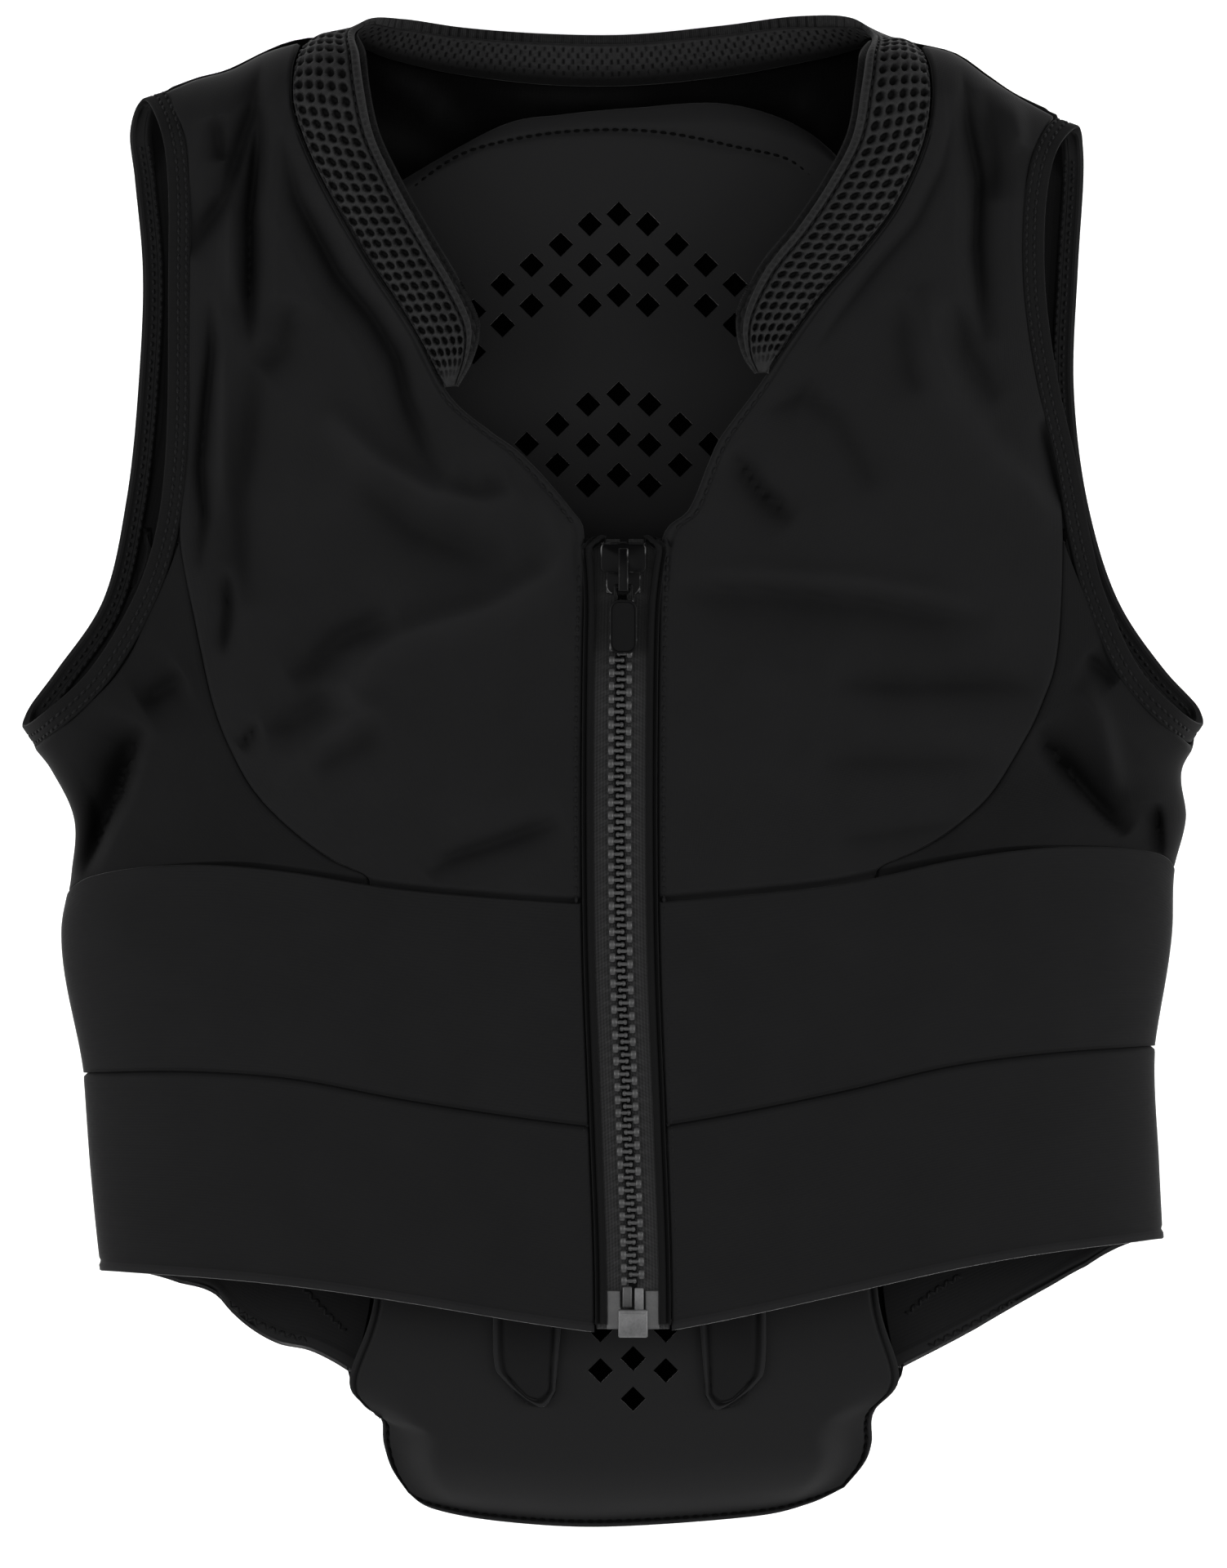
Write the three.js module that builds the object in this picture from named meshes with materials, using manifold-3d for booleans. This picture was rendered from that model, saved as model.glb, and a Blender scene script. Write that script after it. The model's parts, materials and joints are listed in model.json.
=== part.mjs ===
// A child's protective vest with a foam back plate, lying on its back with its front zip closed.
// Millimetres. +Y points to the neck and +Z from the back to the front.
// Left and right are as seen from the front.
import * as THREE from 'three';
import Module from 'manifold-3d';
import { mergeVertices } from 'three/addons/utils/BufferGeometryUtils.js';

const wasm = await Module();
wasm.setup();

// Wall thicknesses
const CLOTH = 1.6;
const BAND = 2.6;
const BACK_CLOTH = 1.5;
const COLLAR = 4;
const BINDING = 2;
const TAPE = 0.7;
const WELT = 1.8;
const FILM = 0.4;
const FLAP = 1.8;

// Clearances: between sewn edges, between stacked layers, and how far the cloth lies below the bands
const SEAM_GAP = 0.8;
const LAYER_GAP = 0.3;
const CLOTH_SINK = 0.6;

// Cross-section shape of the closed vest
const DOME_POWER = 2.4;
const SIDE_ROUND = 1.3;
const TURN_LENGTH = 130;
const FOLD_HEIGHT = 9;
const FRONT_ROLL = 14;
const BACK_ROLL = 9;

// Back plate
const PLATE_BOTTOM = BACK_CLOTH + LAYER_GAP;
const PLATE_TOP = 16;
const PLATE_FLANGE_TOP = 4;
const PLATE_FLANGE = 2.4;
const PLATE_ROLL = 13;
const DIAMOND_RADIUS = 3.16;
const DIAMOND_PITCH = 10.1;

// Zip, measured across from its middle line and up from the surface of the front
const TEETH_PITCH = 3.22;
const TOOTH_LENGTH = 1.25;
const TOOTH_REACH = 1;
const TOOTH_STEP = 0.12;
const TOOTH_PHASE = 0.25;
const TOOTH_BITE = 0.3;
const TEETH_ROOT = 1.4;
const TEETH_OUTER = 2.95;
const TEETH_BOTTOM = -1.1;
const TEETH_TOP = 0.6;
const TEETH_START = -128;
const TEETH_COUNT = 53;
const TAPE_INNER = 1.1;
const TAPE_OUTER = 9.1;
const TAPE_TOP = -1.4;
const TAPE_START = -139.2;
const TAPE_END = 57.5;
const WELT_INNER = 6.5;
const WELT_OUTER = 9.4;
const WELT_TOP = 0.7;
const WELT_START = -138.2;
const FRONT_EDGE = 10;
const ZIP_EDGE_HEIGHTS = [0, 30];
const FILM_END = -129.6;
const FOOT_Y = -137.8;
const FOOT_WIDTH = 7.4;
const FOOT_LENGTH = 7;
const FOOT_HEIGHT = 2.6;
const FOOT_CORNER = 1;
const PIN_WIDTH = 2.4;
const PIN_LENGTH = 5;
const PIN_HEIGHT = 1.8;
const PIN_CORNER = 0.6;
const PIN_RISE = 6.4;
const PIN_ASIDE = 1.45;
const PIN_BITE = 0.5;

// Slider and pull
const SLIDER_Y = 50;
const SLIDER_LENGTH = 13.2;
const SLIDER_WIDTH = 11.6;
const SLIDER_PLATE = 1.2;
const SLIDER_TOP = 2.1;
const SLIDER_BELOW = -3.6;
const SLIDER_POST = 1.5;
const SLIDER_POST_LENGTH = 3;
const SLIDER_POST_MARGIN = 0.6;
const SLIDER_LOW_PLATE = 1;
const SLIDER_CORNER = 2.4;
const SLIDER_LIP = 0.9;
const SLIDER_LIP_LENGTH = 9;
const SLIDER_LIP_MARGIN = 0.6;
const CROWN_WIDTH = 2.4;
const CROWN_LENGTH = 11;
const CROWN_HEIGHT = 3;
const CROWN_SHIFT = -0.4;
const CROWN_SINK = 0.4;
const HINGE_Y = 45.4;
const HINGE_HEIGHT = 3.4;
const HINGE_RADIUS = 0.6;
const HINGE_CLEARANCE = 0.35;
const PULL_WIDTH = 7;
const PULL_LENGTH = 17;
const PULL_OVERHANG = 0.75;
const PULL_THICKNESS = 1.5;
const PULL_CORNER = 1.6;
const PULL_EYE_WIDTH = 3.2;
const PULL_EYE_LENGTH = 3.4;
const PULL_PIN_BITE = 0.4;
const PULL_TILT = THREE.MathUtils.degToRad(6);

// Half widths to each side, height of the front along the middle, and height of the widest point
const SECTIONS = [
  { y: -142, left: 126, right: 138.5, crown: 46, side: 14 },
  { y: -122, left: 128, right: 137.8, crown: 47, side: 15 },
  { y: -100, left: 129.8, right: 136.2, crown: 48.5, side: 16 },
  { y: -73, left: 132.3, right: 135.2, crown: 49, side: 17 },
  { y: -40, left: 137.3, right: 139.4, crown: 49, side: 16 },
  { y: -26, left: 135.4, right: 140.3, crown: 48.5, side: 13 },
  { y: -12, left: 134.8, right: 143.6, crown: 48, side: 10 },
  { y: 0, left: 140.5, right: 142.6, crown: 47, side: 9 },
  { y: 11, left: 148, right: 148.2, crown: 46, side: 8 },
  { y: 30, left: 141, right: 141, crown: 45, side: 8 },
  { y: 60, left: 131, right: 131, crown: 43, side: 7 },
  { y: 100, left: 128, right: 127, crown: 41, side: 6 },
  { y: 150, left: 127, right: 126, crown: 38, side: 6 },
  { y: 190, left: 126, right: 125, crown: 36, side: 6 },
];

// Fold line over the shoulders
const SHOULDERS = [
  { x: -121, y: 165.5 },
  { x: -114, y: 170 },
  { x: -96, y: 175.3 },
  { x: -80, y: 182.4 },
  { x: 73, y: 181.8 },
  { x: 84, y: 180.2 },
  { x: 100, y: 169.6 },
  { x: 110, y: 164.8 },
  { x: 119, y: 160.5 },
];

// Creases of the front, each a straight ridge (or dent, where height is negative) with rounded ends
const FOLDS = [
  { x0: -90, y0: 160, x1: -90, y1: 107, width: 5, height: -2.2 },
  { x0: -96, y0: 165, x1: -104, y1: 131, width: 4.5, height: -1.8 },
  { x0: -99, y0: 117, x1: -101.5, y1: 84, width: 4.5, height: -2 },
  { x0: -101.5, y0: 70, x1: -102.7, y1: 48, width: 4.5, height: -1.6 },
  { x0: -88.2, y0: 107, x1: -92.8, y1: 70, width: 5, height: -1.8 },
  { x0: -92.8, y0: 70, x1: -90, y1: 43, width: 5, height: -1.8 },
  { x0: -84, y0: 150, x1: -69, y1: 124, width: 5, height: -2 },
  { x0: -69, y0: 124, x1: -41, y1: 74, width: 5, height: -2.2 },
  { x0: -71, y0: 92, x1: -54, y1: 71, width: 6, height: 2 },
  { x0: -54, y0: 71, x1: -29, y1: 52, width: 6, height: 2 },
  { x0: -14, y0: 52, x1: -54, y1: 33, width: 6, height: 2.4 },
  { x0: -54, y0: 33, x1: -66, y1: 19, width: 6, height: 2 },
  { x0: -48, y0: -24, x1: -13, y1: -10, width: 5, height: -1.6 },
  { x0: -126, y0: 6, x1: -132, y1: -18, width: 6, height: -6 },
  { x0: 86, y0: 166, x1: 90, y1: 150, width: 5, height: -2.2 },
  { x0: 90, y0: 150, x1: 93, y1: 107, width: 5, height: -2.2 },
  { x0: 98, y0: 160, x1: 100, y1: 143, width: 4.5, height: 2 },
  { x0: 78, y0: 125, x1: 94, y1: 88, width: 5, height: 2.2 },
  { x0: 94, y0: 88, x1: 103, y1: 72, width: 5, height: 1.8 },
  { x0: 31, y0: 78, x1: 45, y1: 62, width: 5, height: -2 },
  { x0: 20, y0: 49, x1: 92, y1: 42, width: 4.5, height: 1.4 },
  { x0: 16, y0: 41, x1: 94, y1: 35, width: 5, height: -2 },
  { x0: 53, y0: 22.5, x1: 104, y1: 22.5, width: 5, height: -1.8 },
  { x0: 108, y0: 10, x1: 128, y1: -10, width: 5, height: -3 },
  { x0: 123, y0: 16, x1: 129, y1: -9, width: 4.5, height: 2 },
];

// Edges of the waist bands by the turn round the body: 0 at the zip, 1 at the side, 2 at the back seam
const BAND_LINES_LEFT = [
  { turn: 0, top: -33.3, split: -88.6, hem: -140 },
  { turn: 0.2, top: -29.5, split: -82, hem: -133 },
  { turn: 0.35, top: -25.3, split: -77, hem: -129.2 },
  { turn: 0.5, top: -23.6, split: -75.2, hem: -127 },
  { turn: 0.8, top: -26.5, split: -75.3, hem: -125.2 },
  { turn: 1, top: -31, split: -75.5, hem: -125 },
  { turn: 1.3, top: -32.4, split: -75.8, hem: -125.2 },
  { turn: 1.5, top: -33, split: -76, hem: -128.2 },
  { turn: 1.6, top: -32.8, split: -76.3, hem: -131.3 },
  { turn: 1.64, top: -32.6, split: -76.5, hem: -135.4 },
  { turn: 1.7, top: -32.3, split: -76.8, hem: -139.8 },
  { turn: 1.78, top: -31.8, split: -77.1, hem: -143.4 },
  { turn: 1.86, top: -31.2, split: -77.4, hem: -145 },
  { turn: 1.92, top: -30.7, split: -77.7, hem: -147.4 },
  { turn: 2, top: -30, split: -78, hem: -151.5 },
];
const BAND_LINES_RIGHT = [
  { turn: 0, top: -33, split: -88.4, hem: -139.6 },
  { turn: 0.2, top: -28.3, split: -80, hem: -130.3 },
  { turn: 0.35, top: -22.4, split: -74, hem: -124.5 },
  { turn: 0.5, top: -19.4, split: -71, hem: -120.8 },
  { turn: 0.8, top: -20.8, split: -69, hem: -117.5 },
  { turn: 1, top: -25, split: -68.8, hem: -117 },
  { turn: 1.3, top: -26.2, split: -69.4, hem: -118.2 },
  { turn: 1.5, top: -27, split: -70, hem: -124 },
  { turn: 1.6, top: -27.4, split: -71.4, hem: -129.2 },
  { turn: 1.75, top: -28, split: -74, hem: -137.2 },
  { turn: 1.87, top: -28, split: -76, hem: -143.8 },
  { turn: 2, top: -28, split: -78, hem: -150.5 },
];
const BAND_TURNS_BEHIND = [1.1, 1.2, 1.3, 1.4, 1.5, 1.6, 1.64, 1.7, 1.78, 1.86, 1.92, 2];

// Seam on the back where bands and side panels end, as distances from the middle
const BACK_SEAM = [
  { y: -152, left: 66.5, right: 72.8 },
  { y: -132, left: 62, right: 69.5 },
  { y: -100, left: 62, right: 68 },
  { y: -60, left: 64, right: 67 },
  { y: -29, left: 67, right: 69 },
  { y: -18, left: 77, right: 79 },
  { y: 4, left: 94, right: 95 },
  { y: 36, left: 107.5, right: 106.5 },
  { y: 60, left: 116.6, right: 113.8 },
];

// Middle line of the zip
const ZIP_LINE = [
  { y: -142, x: 5.2 },
  { y: -122, x: 5 },
  { y: -89, x: 3.8 },
  { y: -42, x: 2.1 },
  { y: 29, x: 2.1 },
  { y: 60, x: 3.1 },
];

// Chest panels: the inner edge up the neck opening from the zip, then along the collar to the shoulder
const NECK_LEFT = [
  [-7, 57], [-10.2, 64.9], [-22.4, 78.2], [-30.6, 84.3], [-40.6, 93], [-49.8, 109.5],
  [-59.8, 124.6], [-69.6, 140.8], [-77, 155.8], [-80.3, 167], [-80.2, 176], [-78.4, 182.2],
];
const NECK_RIGHT = [
  [12.6, 57], [19.4, 64.9], [24.1, 76], [27.5, 83.2], [37.2, 96.2], [43.4, 105.6], [52.2, 117.4],
  [62, 128.4], [71, 140.4], [78, 155.6], [80.2, 167], [79.8, 176], [77.6, 181.6],
];

// Chest panels: the outer edge up the curved seam, then along the armhole binding to the shoulder
const CHEST_SEAM_LEFT = [
  [-61, -26.6], [-70, -22.2], [-79.8, -15], [-88.8, -5.9],
  [-94.7, 4.1], [-99.6, 16.9], [-104, 36.5], [-108, 58],
];
const ARMHOLE_SEAM_LEFT = [[-105.6, 80], [-104.9, 120], [-105.1, 148], [-106.8, 160], [-110.2, 171]];
const CHEST_SEAM_RIGHT = [
  [66.5, -24.4], [75.5, -20.2], [83.3, -15.6], [93.3, -7.1],
  [101.2, 4.7], [107.1, 16.5], [111.2, 30.4], [112.6, 58],
];
const ARMHOLE_SEAM_RIGHT = [
  [110, 77.5], [105.1, 97.8], [102, 121.5], [102.4, 143], [105.2, 156], [108.2, 165.4],
];

// Upper edge of the side panels along the armhole binding, as distances from the middle
const UNDERARM_FRONT_LEFT = [[113.7, 41.1], [125.6, 20.3], [137.6, 8.8]];
const UNDERARM_FRONT_RIGHT = [[118, 41.3], [127.6, 20.7], [138.6, 9.2]];
const UNDERARM_BACK_LEFT = [[142, 9.6], [134, 20.4], [122.2, 38.2]];
const UNDERARM_BACK_RIGHT = [[142.2, 10], [133.2, 20.4], [121.2, 38.2]];
const UNDERARM_TIP = 4.4;
const BACK_SEAM_END = 57;
const BACK_SEAM_HEIGHTS = [0, 30];
const SIDE_PANEL_INSET = 0.48;

// Collar: the seam, how far it has come from the back (0) to the front (1), the rim and its rise
const COLLAR_ROWS = [
  { seamX: -41.4, seamY: 95.4, lift: 1, rimX: -38.9, rimY: 95.6, rise: 0.2 },
  { seamX: -43.6, seamY: 99.4, lift: 1, rimX: -35.9, rimY: 103.4, rise: 1 },
  { seamX: -46.6, seamY: 105, lift: 1, rimX: -35.3, rimY: 110.6, rise: 2 },
  { seamX: -51.6, seamY: 113.6, lift: 1, rimX: -39.4, rimY: 120.2, rise: 2.5 },
  { seamX: -59.2, seamY: 125.1, lift: 1, rimX: -46.3, rimY: 132, rise: 3 },
  { seamX: -69, seamY: 141, lift: 1, rimX: -54.5, rimY: 146.8, rise: 3 },
  { seamX: -76.3, seamY: 155.9, lift: 1, rimX: -59.8, rimY: 158.5, rise: 3.5 },
  { seamX: -79.6, seamY: 167, lift: 1, rimX: -62.2, rimY: 170, rise: 4.5 },
  { seamX: -79.2, seamY: 176, lift: 0.95, rimX: -63.4, rimY: 178.8, rise: 6 },
  { seamX: -75.4, seamY: 182, lift: 0.75, rimX: -64.4, rimY: 184.4, rise: 10 },
  { seamX: -67.5, seamY: 182.6, lift: 0.5, rimX: -60.6, rimY: 187.6, rise: 9 },
  { seamX: -55, seamY: 178.8, lift: 0.12, rimX: -52, rimY: 187.8, rise: 7 },
  { seamX: -40, seamY: 175.2, lift: 0, rimX: -37.5, rimY: 185.8, rise: 6.4 },
  { seamX: -16.3, seamY: 172, lift: 0, rimX: -16.3, rimY: 184.2, rise: 6 },
  { seamX: 5, seamY: 171.8, lift: 0, rimX: 4, rimY: 184, rise: 6 },
  { seamX: 30, seamY: 174.4, lift: 0, rimX: 27, rimY: 186.2, rise: 6.2 },
  { seamX: 50, seamY: 178.6, lift: 0.08, rimX: 47, rimY: 188.6, rise: 7 },
  { seamX: 65, seamY: 182.6, lift: 0.4, rimX: 59.6, rimY: 188, rise: 9 },
  { seamX: 74, seamY: 181.8, lift: 0.75, rimX: 64.6, rimY: 184.2, rise: 10 },
  { seamX: 78.8, seamY: 176, lift: 0.95, rimX: 63.6, rimY: 178.6, rise: 6 },
  { seamX: 79.4, seamY: 167, lift: 1, rimX: 62.3, rimY: 170, rise: 4.5 },
  { seamX: 77.3, seamY: 155.7, lift: 1, rimX: 60, rimY: 157.8, rise: 3.5 },
  { seamX: 70.4, seamY: 140.8, lift: 1, rimX: 54.4, rimY: 147, rise: 3 },
  { seamX: 61.4, seamY: 129, lift: 1, rimX: 46.6, rimY: 135.2, rise: 3 },
  { seamX: 51.6, seamY: 118, lift: 1, rimX: 37.8, rimY: 123.9, rise: 2.5 },
  { seamX: 43.8, seamY: 107.6, lift: 1, rimX: 32.9, rimY: 112, rise: 2 },
  { seamX: 40.6, seamY: 102.8, lift: 1, rimX: 33.4, rimY: 104, rise: 1 },
  { seamX: 38.4, seamY: 99, lift: 1, rimX: 36, rimY: 98.8, rise: 0.2 },
];

// Armhole bindings: the free edge, how far it has come from back (0) to front (1), the step to the seam
const ARMHOLE_ROWS_LEFT = [
  { x: -117.4, y: 167.6, lift: 1, stepX: 5.6, stepY: 1.8 },
  { x: -113, y: 160, lift: 1, stepX: 5.5, stepY: 0.6 },
  { x: -111.2, y: 148, lift: 1, stepX: 5.5, stepY: 0 },
  { x: -111, y: 120, lift: 1, stepX: 5.5, stepY: 0 },
  { x: -111.6, y: 80, lift: 1, stepX: 5.5, stepY: -0.2 },
  { x: -114, y: 60, lift: 1, stepX: 5.3, stepY: -1.4 },
  { x: -119, y: 44.5, lift: 1, stepX: 4.8, stepY: -2.8 },
  { x: -130.6, y: 25.1, lift: 1, stepX: 4, stepY: -4 },
  { x: -142, y: 14.5, lift: 1, stepX: 3.4, stepY: -4.6 },
  { x: -147.6, y: 11, lift: 0.6, stepX: 3.2, stepY: -4.8 },
  { x: -146.2, y: 15, lift: 0.06, stepX: 3.6, stepY: -4.4 },
  { x: -138.8, y: 25.1, lift: 0, stepX: 4.1, stepY: -3.9 },
  { x: -127.5, y: 42, lift: 0, stepX: 4.8, stepY: -2.9 },
  { x: -121.4, y: 68, lift: 0, stepX: 5.4, stepY: -1 },
  { x: -118.2, y: 100, lift: 0, stepX: 5.5, stepY: 0 },
  { x: -117.4, y: 125, lift: 0, stepX: 5.5, stepY: 0 },
  { x: -119.4, y: 148, lift: 0, stepX: 5.5, stepY: 0 },
  { x: -120.4, y: 160, lift: 0.3, stepX: 5.5, stepY: 0.8 },
];
const ARMHOLE_ROWS_RIGHT = [
  { x: 116.6, y: 160.8, lift: 1, stepX: -5.6, stepY: 2 },
  { x: 111.4, y: 155, lift: 1, stepX: -5.5, stepY: 0.6 },
  { x: 108.6, y: 143, lift: 1, stepX: -5.5, stepY: 0 },
  { x: 108.2, y: 121, lift: 1, stepX: -5.5, stepY: 0 },
  { x: 111.4, y: 97, lift: 1, stepX: -5.5, stepY: 0.4 },
  { x: 116.2, y: 76, lift: 1, stepX: -5.4, stepY: 0 },
  { x: 119.6, y: 58, lift: 1, stepX: -5.2, stepY: -1.6 },
  { x: 123, y: 44.5, lift: 1, stepX: -4.8, stepY: -2.8 },
  { x: 132, y: 25.1, lift: 1, stepX: -4, stepY: -4 },
  { x: 142.4, y: 14.5, lift: 1, stepX: -3.4, stepY: -4.6 },
  { x: 147.8, y: 11.6, lift: 0.6, stepX: -3.2, stepY: -4.8 },
  { x: 146.6, y: 15.6, lift: 0.06, stepX: -3.6, stepY: -4.4 },
  { x: 138, y: 25.1, lift: 0, stepX: -4.1, stepY: -3.9 },
  { x: 126.6, y: 42, lift: 0, stepX: -4.8, stepY: -2.9 },
  { x: 119, y: 66, lift: 0, stepX: -5.4, stepY: -1 },
  { x: 115.4, y: 95, lift: 0, stepX: -5.5, stepY: 0 },
  { x: 116.4, y: 125, lift: 0, stepX: -5.5, stepY: 0 },
  { x: 117.8, y: 148, lift: 0, stepX: -5.5, stepY: 0 },
  { x: 117.6, y: 156, lift: 0.3, stepX: -5.5, stepY: 0.8 },
];

// Outline of the back plate, from the tail up each side, and its two ends
const PLATE_LEFT = [
  [-51, -180.6], [-55.1, -174.5], [-57.2, -167.6], [-57.8, -162], [-62.4, -158.4], [-65.6, -151.5],
  [-59.5, -132], [-59.5, -100], [-61, -60], [-64, -29], [-76, 4], [-80, 50], [-78, 100],
  [-70, 128], [-58, 144],
];
const PLATE_RIGHT = [
  [58, -179.2], [63, -173.1], [64.8, -167.8], [65.3, -160.4], [71.6, -151.5],
  [66.5, -132], [65, -100], [64.5, -60], [65.5, -29], [78, 4], [82, 50], [80, 100], [73, 130], [62, 147],
];
const PLATE_TAIL = [
  [-51, -180.6], [-44.9, -184.5], [-28.2, -187.6], [-2, -189], [34.5, -186.5], [49, -183.3], [58, -179.2],
];
const PLATE_HEAD = [
  [-58, 144], [-29.2, 160.4], [-12.7, 163.7], [5.5, 165.4], [28.4, 166.4], [48, 160], [62, 147],
];

// Outline of the cloth of the back: beside the tail and along the seam on the back, then along the armholes
const SHELL_TAIL_MARGIN = 0.4;
const SHELL_MARGIN = 0.9;
const SHELL_TAIL_POINTS = { left: 5, right: 4 };
const SHELL_SEAM_HEIGHTS = [-150, -132, -100, -60, -42, -29, -18, 4, 36, 60];
const SHELL_LEFT_TOP = [
  [-113.6, 82], [-112.4, 100], [-111.6, 125], [-113.4, 148], [-114.4, 160], [-110.8, 169.6],
];
const SHELL_RIGHT_TOP = [
  [110.8, 78], [109.2, 95], [110.6, 125], [112, 148], [111.6, 156], [108.8, 164.2],
];
const SHELL_FOLD_LEFT = [-104, -96, -86, -79];
const SHELL_FOLD_RIGHT = [77, 86, 94, 101];
const SHELL_NECK = [
  [-70, 180.2], [-56, 176.6], [-40, 173.6], [-16, 170.6], [5, 170.4], [30, 172.8], [51, 176.6], [66, 180.2],
];

// Diamond holes of the plate: columns count outwards from the middle, top is the uppermost hole's height
const DIAMOND_GROUPS = [
  {
    x: 1.6,
    step: 7.25,
    columns: [
      { column: 0, top: 138.8, count: 3 },
      { column: 1, top: 136.3, count: 3 },
      { column: 2, top: 131.2, count: 2 },
      { column: 3, top: 126.1, count: 2 },
      { column: 4, top: 121.2, count: 2 },
      { column: 5, top: 114.5, count: 2 },
    ],
  },
  {
    x: 1.6,
    step: 7.65,
    columns: [
      { column: 0, top: 93.9, count: 3 },
      { column: 1, top: 91.3, count: 3 },
      { column: 2, top: 86.3, count: 2 },
      { column: 3, top: 81.4, count: 1 },
    ],
  },
  {
    x: 5.2,
    step: 8.16,
    columns: [
      { column: 0, top: -146.9, count: 2 },
      { column: 1, top: -139.8, count: 2 },
    ],
  },
];

// Bound tongues on the tail, drawn from their hidden upper ends down to the slanted tips
const FLAP_TOP = -104;
const FLAP_BEND = 5;
const FLAP_SLANT = 0.35;
const FLAP_SLANT_RISE = 2.6;
const FLAP_LEFT = {
  outer: -29.6, inner: -12.2, shoulder: -146.5, tip: [-17.2, -159.6], innerLow: [-14.3, -155],
};
const FLAP_RIGHT = {
  outer: 38.2, inner: 21.4, shoulder: -147.5, tip: [26, -160.2], innerLow: [23.4, -156],
};

// Facets of each piece, across and along it, and how they crowd towards the shoulders
const CHEST_STEPS = { across: 11, up: 24, crowding: 1.5 };
const SIDE_STEPS = { across: 18, up: 8, seam: 24, hem: 10 };
const BAND_STEPS = { front: 14, up: 4 };
const SHELL_STEPS = { across: 14, up: 34, crowding: 1.2 };
const PLATE_STEPS = { across: 12, up: 22 };
const COLLAR_STEPS = { row: 2, up: 3 };
const BINDING_STEPS = { row: 2, across: 2 };
const ZIP_STEPS = { along: 20, film: 2 };
const EDGE_STEPS = 4;
const ARC_STEPS = 4;
const BAR_STEPS = 12;

const BLACK_CLOTH = { color: 0x1c1c1e, roughness: 0.9, metalness: 0 };
const BLACK_BAND = { color: 0x1e1e20, roughness: 0.85, metalness: 0 };
const BLACK_FOAM = { color: 0x202022, roughness: 0.85, metalness: 0 };
const BLACK_MESH = { color: 0x232325, roughness: 0.95, metalness: 0 };
const DARK_TAPE = { color: 0x303032, roughness: 0.9, metalness: 0 };
const ZIP_PLASTIC = { color: 0x2c2c2e, roughness: 0.4, metalness: 0 };
const GREY_FILM = { color: 0x4a4a4c, roughness: 0.35, metalness: 0 };
const SLIDER_PAINT = { color: 0x18181a, roughness: 0.35, metalness: 0.2 };

function column(rows, along, name) {
  const spline = new THREE.CubicInterpolant(rows.map((row) => row[along]), rows.map((row) => row[name]), 1);
  return (place) => spline.evaluate(place)[0];
}

const leftHalf = column(SECTIONS, 'y', 'left');
const rightHalf = column(SECTIONS, 'y', 'right');
const crownHeight = column(SECTIONS, 'y', 'crown');
const sideHeight = column(SECTIONS, 'y', 'side');
const shoulderLine = column(SHOULDERS, 'x', 'y');
const zipLine = column(ZIP_LINE, 'y', 'x');
const backSeam = { left: column(BACK_SEAM, 'y', 'left'), right: column(BACK_SEAM, 'y', 'right') };

function halfWidth(side, y) {
  return side === 'left' ? leftHalf(y) : rightHalf(y);
}

// 0 at the edge of a rounded border, 1 from its radius inwards
function roll(depth, radius) {
  const rest = 1 - THREE.MathUtils.clamp(depth / radius, 0, 1);
  return Math.sqrt(1 - rest * rest);
}

function foldHeight(x, y) {
  const point = new THREE.Vector3(x, y, 0);
  const nearest = new THREE.Vector3();
  let height = 0;
  for (const fold of FOLDS) {
    const start = new THREE.Vector3(fold.x0, fold.y0, 0);
    const line = new THREE.Line3(start, new THREE.Vector3(fold.x1, fold.y1, 0));
    line.closestPointToPoint(point, true, nearest);
    height += fold.height * Math.exp(-nearest.distanceToSquared(point) / fold.width ** 2);
  }
  return height;
}

// Height of the front's outer surface
function front(x, y) {
  const reach = Math.min(Math.abs(x) / halfWidth(x < 0 ? 'left' : 'right', y), 1);
  const dome = (1 - reach ** DOME_POWER) ** (1 / DOME_POWER);
  const open = sideHeight(y) + (crownHeight(y) - sideHeight(y)) * dome;
  const turned = roll(shoulderLine(x) - y, FRONT_ROLL);
  return FOLD_HEIGHT + (open + foldHeight(x, y) - FOLD_HEIGHT) * turned;
}

// Height of the back's outer surface, which curls up to the shoulder folds
function back(x, y) {
  const shoulder = shoulderLine(x) - y;
  return FOLD_HEIGHT * (1 - roll(shoulder, BACK_ROLL));
}

function frontPoint(p) {
  return new THREE.Vector3(p.x, p.y, front(p.x, p.y));
}

// The turn round the body of a point of the front
function turnAt(side, x, y) {
  const reach = Math.min(Math.abs(x) / halfWidth(side, y), 1);
  return Math.asin(reach ** (DOME_POWER / 2)) / (Math.PI / 2);
}

// The turn round the body of a point below the side or on the back
function turnBehind(side, x, y) {
  const half = halfWidth(side, y);
  const radius = SIDE_ROUND * sideHeight(y);
  const flat = half - radius;
  if (x > flat) {
    return 1 + Math.acos(1 - (half - x) / radius) / Math.PI;
  }
  return 1.5 + (0.5 * (flat - x)) / (flat - backSeam[side](y));
}

// A point of the outer surface by its turn: over the front, round the side, flat along the floor
function wrap(side, turn, y) {
  const sign = side === 'left' ? -1 : 1;
  const half = halfWidth(side, y);
  if (turn <= 1) {
    const x = sign * half * Math.sin(turn * Math.PI / 2) ** (2 / DOME_POWER);
    return new THREE.Vector3(x, y, front(x, y));
  }
  const height = sideHeight(y);
  const radius = SIDE_ROUND * height;
  if (turn <= 1.5) {
    const angle = (turn - 1) * Math.PI;
    const x = sign * (half - radius * (1 - Math.cos(angle)));
    return new THREE.Vector3(x, y, height * (1 - Math.sin(angle)));
  }
  const across = (turn - 1.5) / 0.5;
  return new THREE.Vector3(sign * THREE.MathUtils.lerp(half - radius, backSeam[side](y), across), y, 0);
}

// Points close together along the curve through a few points
function densely(points, count) {
  return evenly(count).map((t) => outline(points).at(t).toArray());
}

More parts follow.
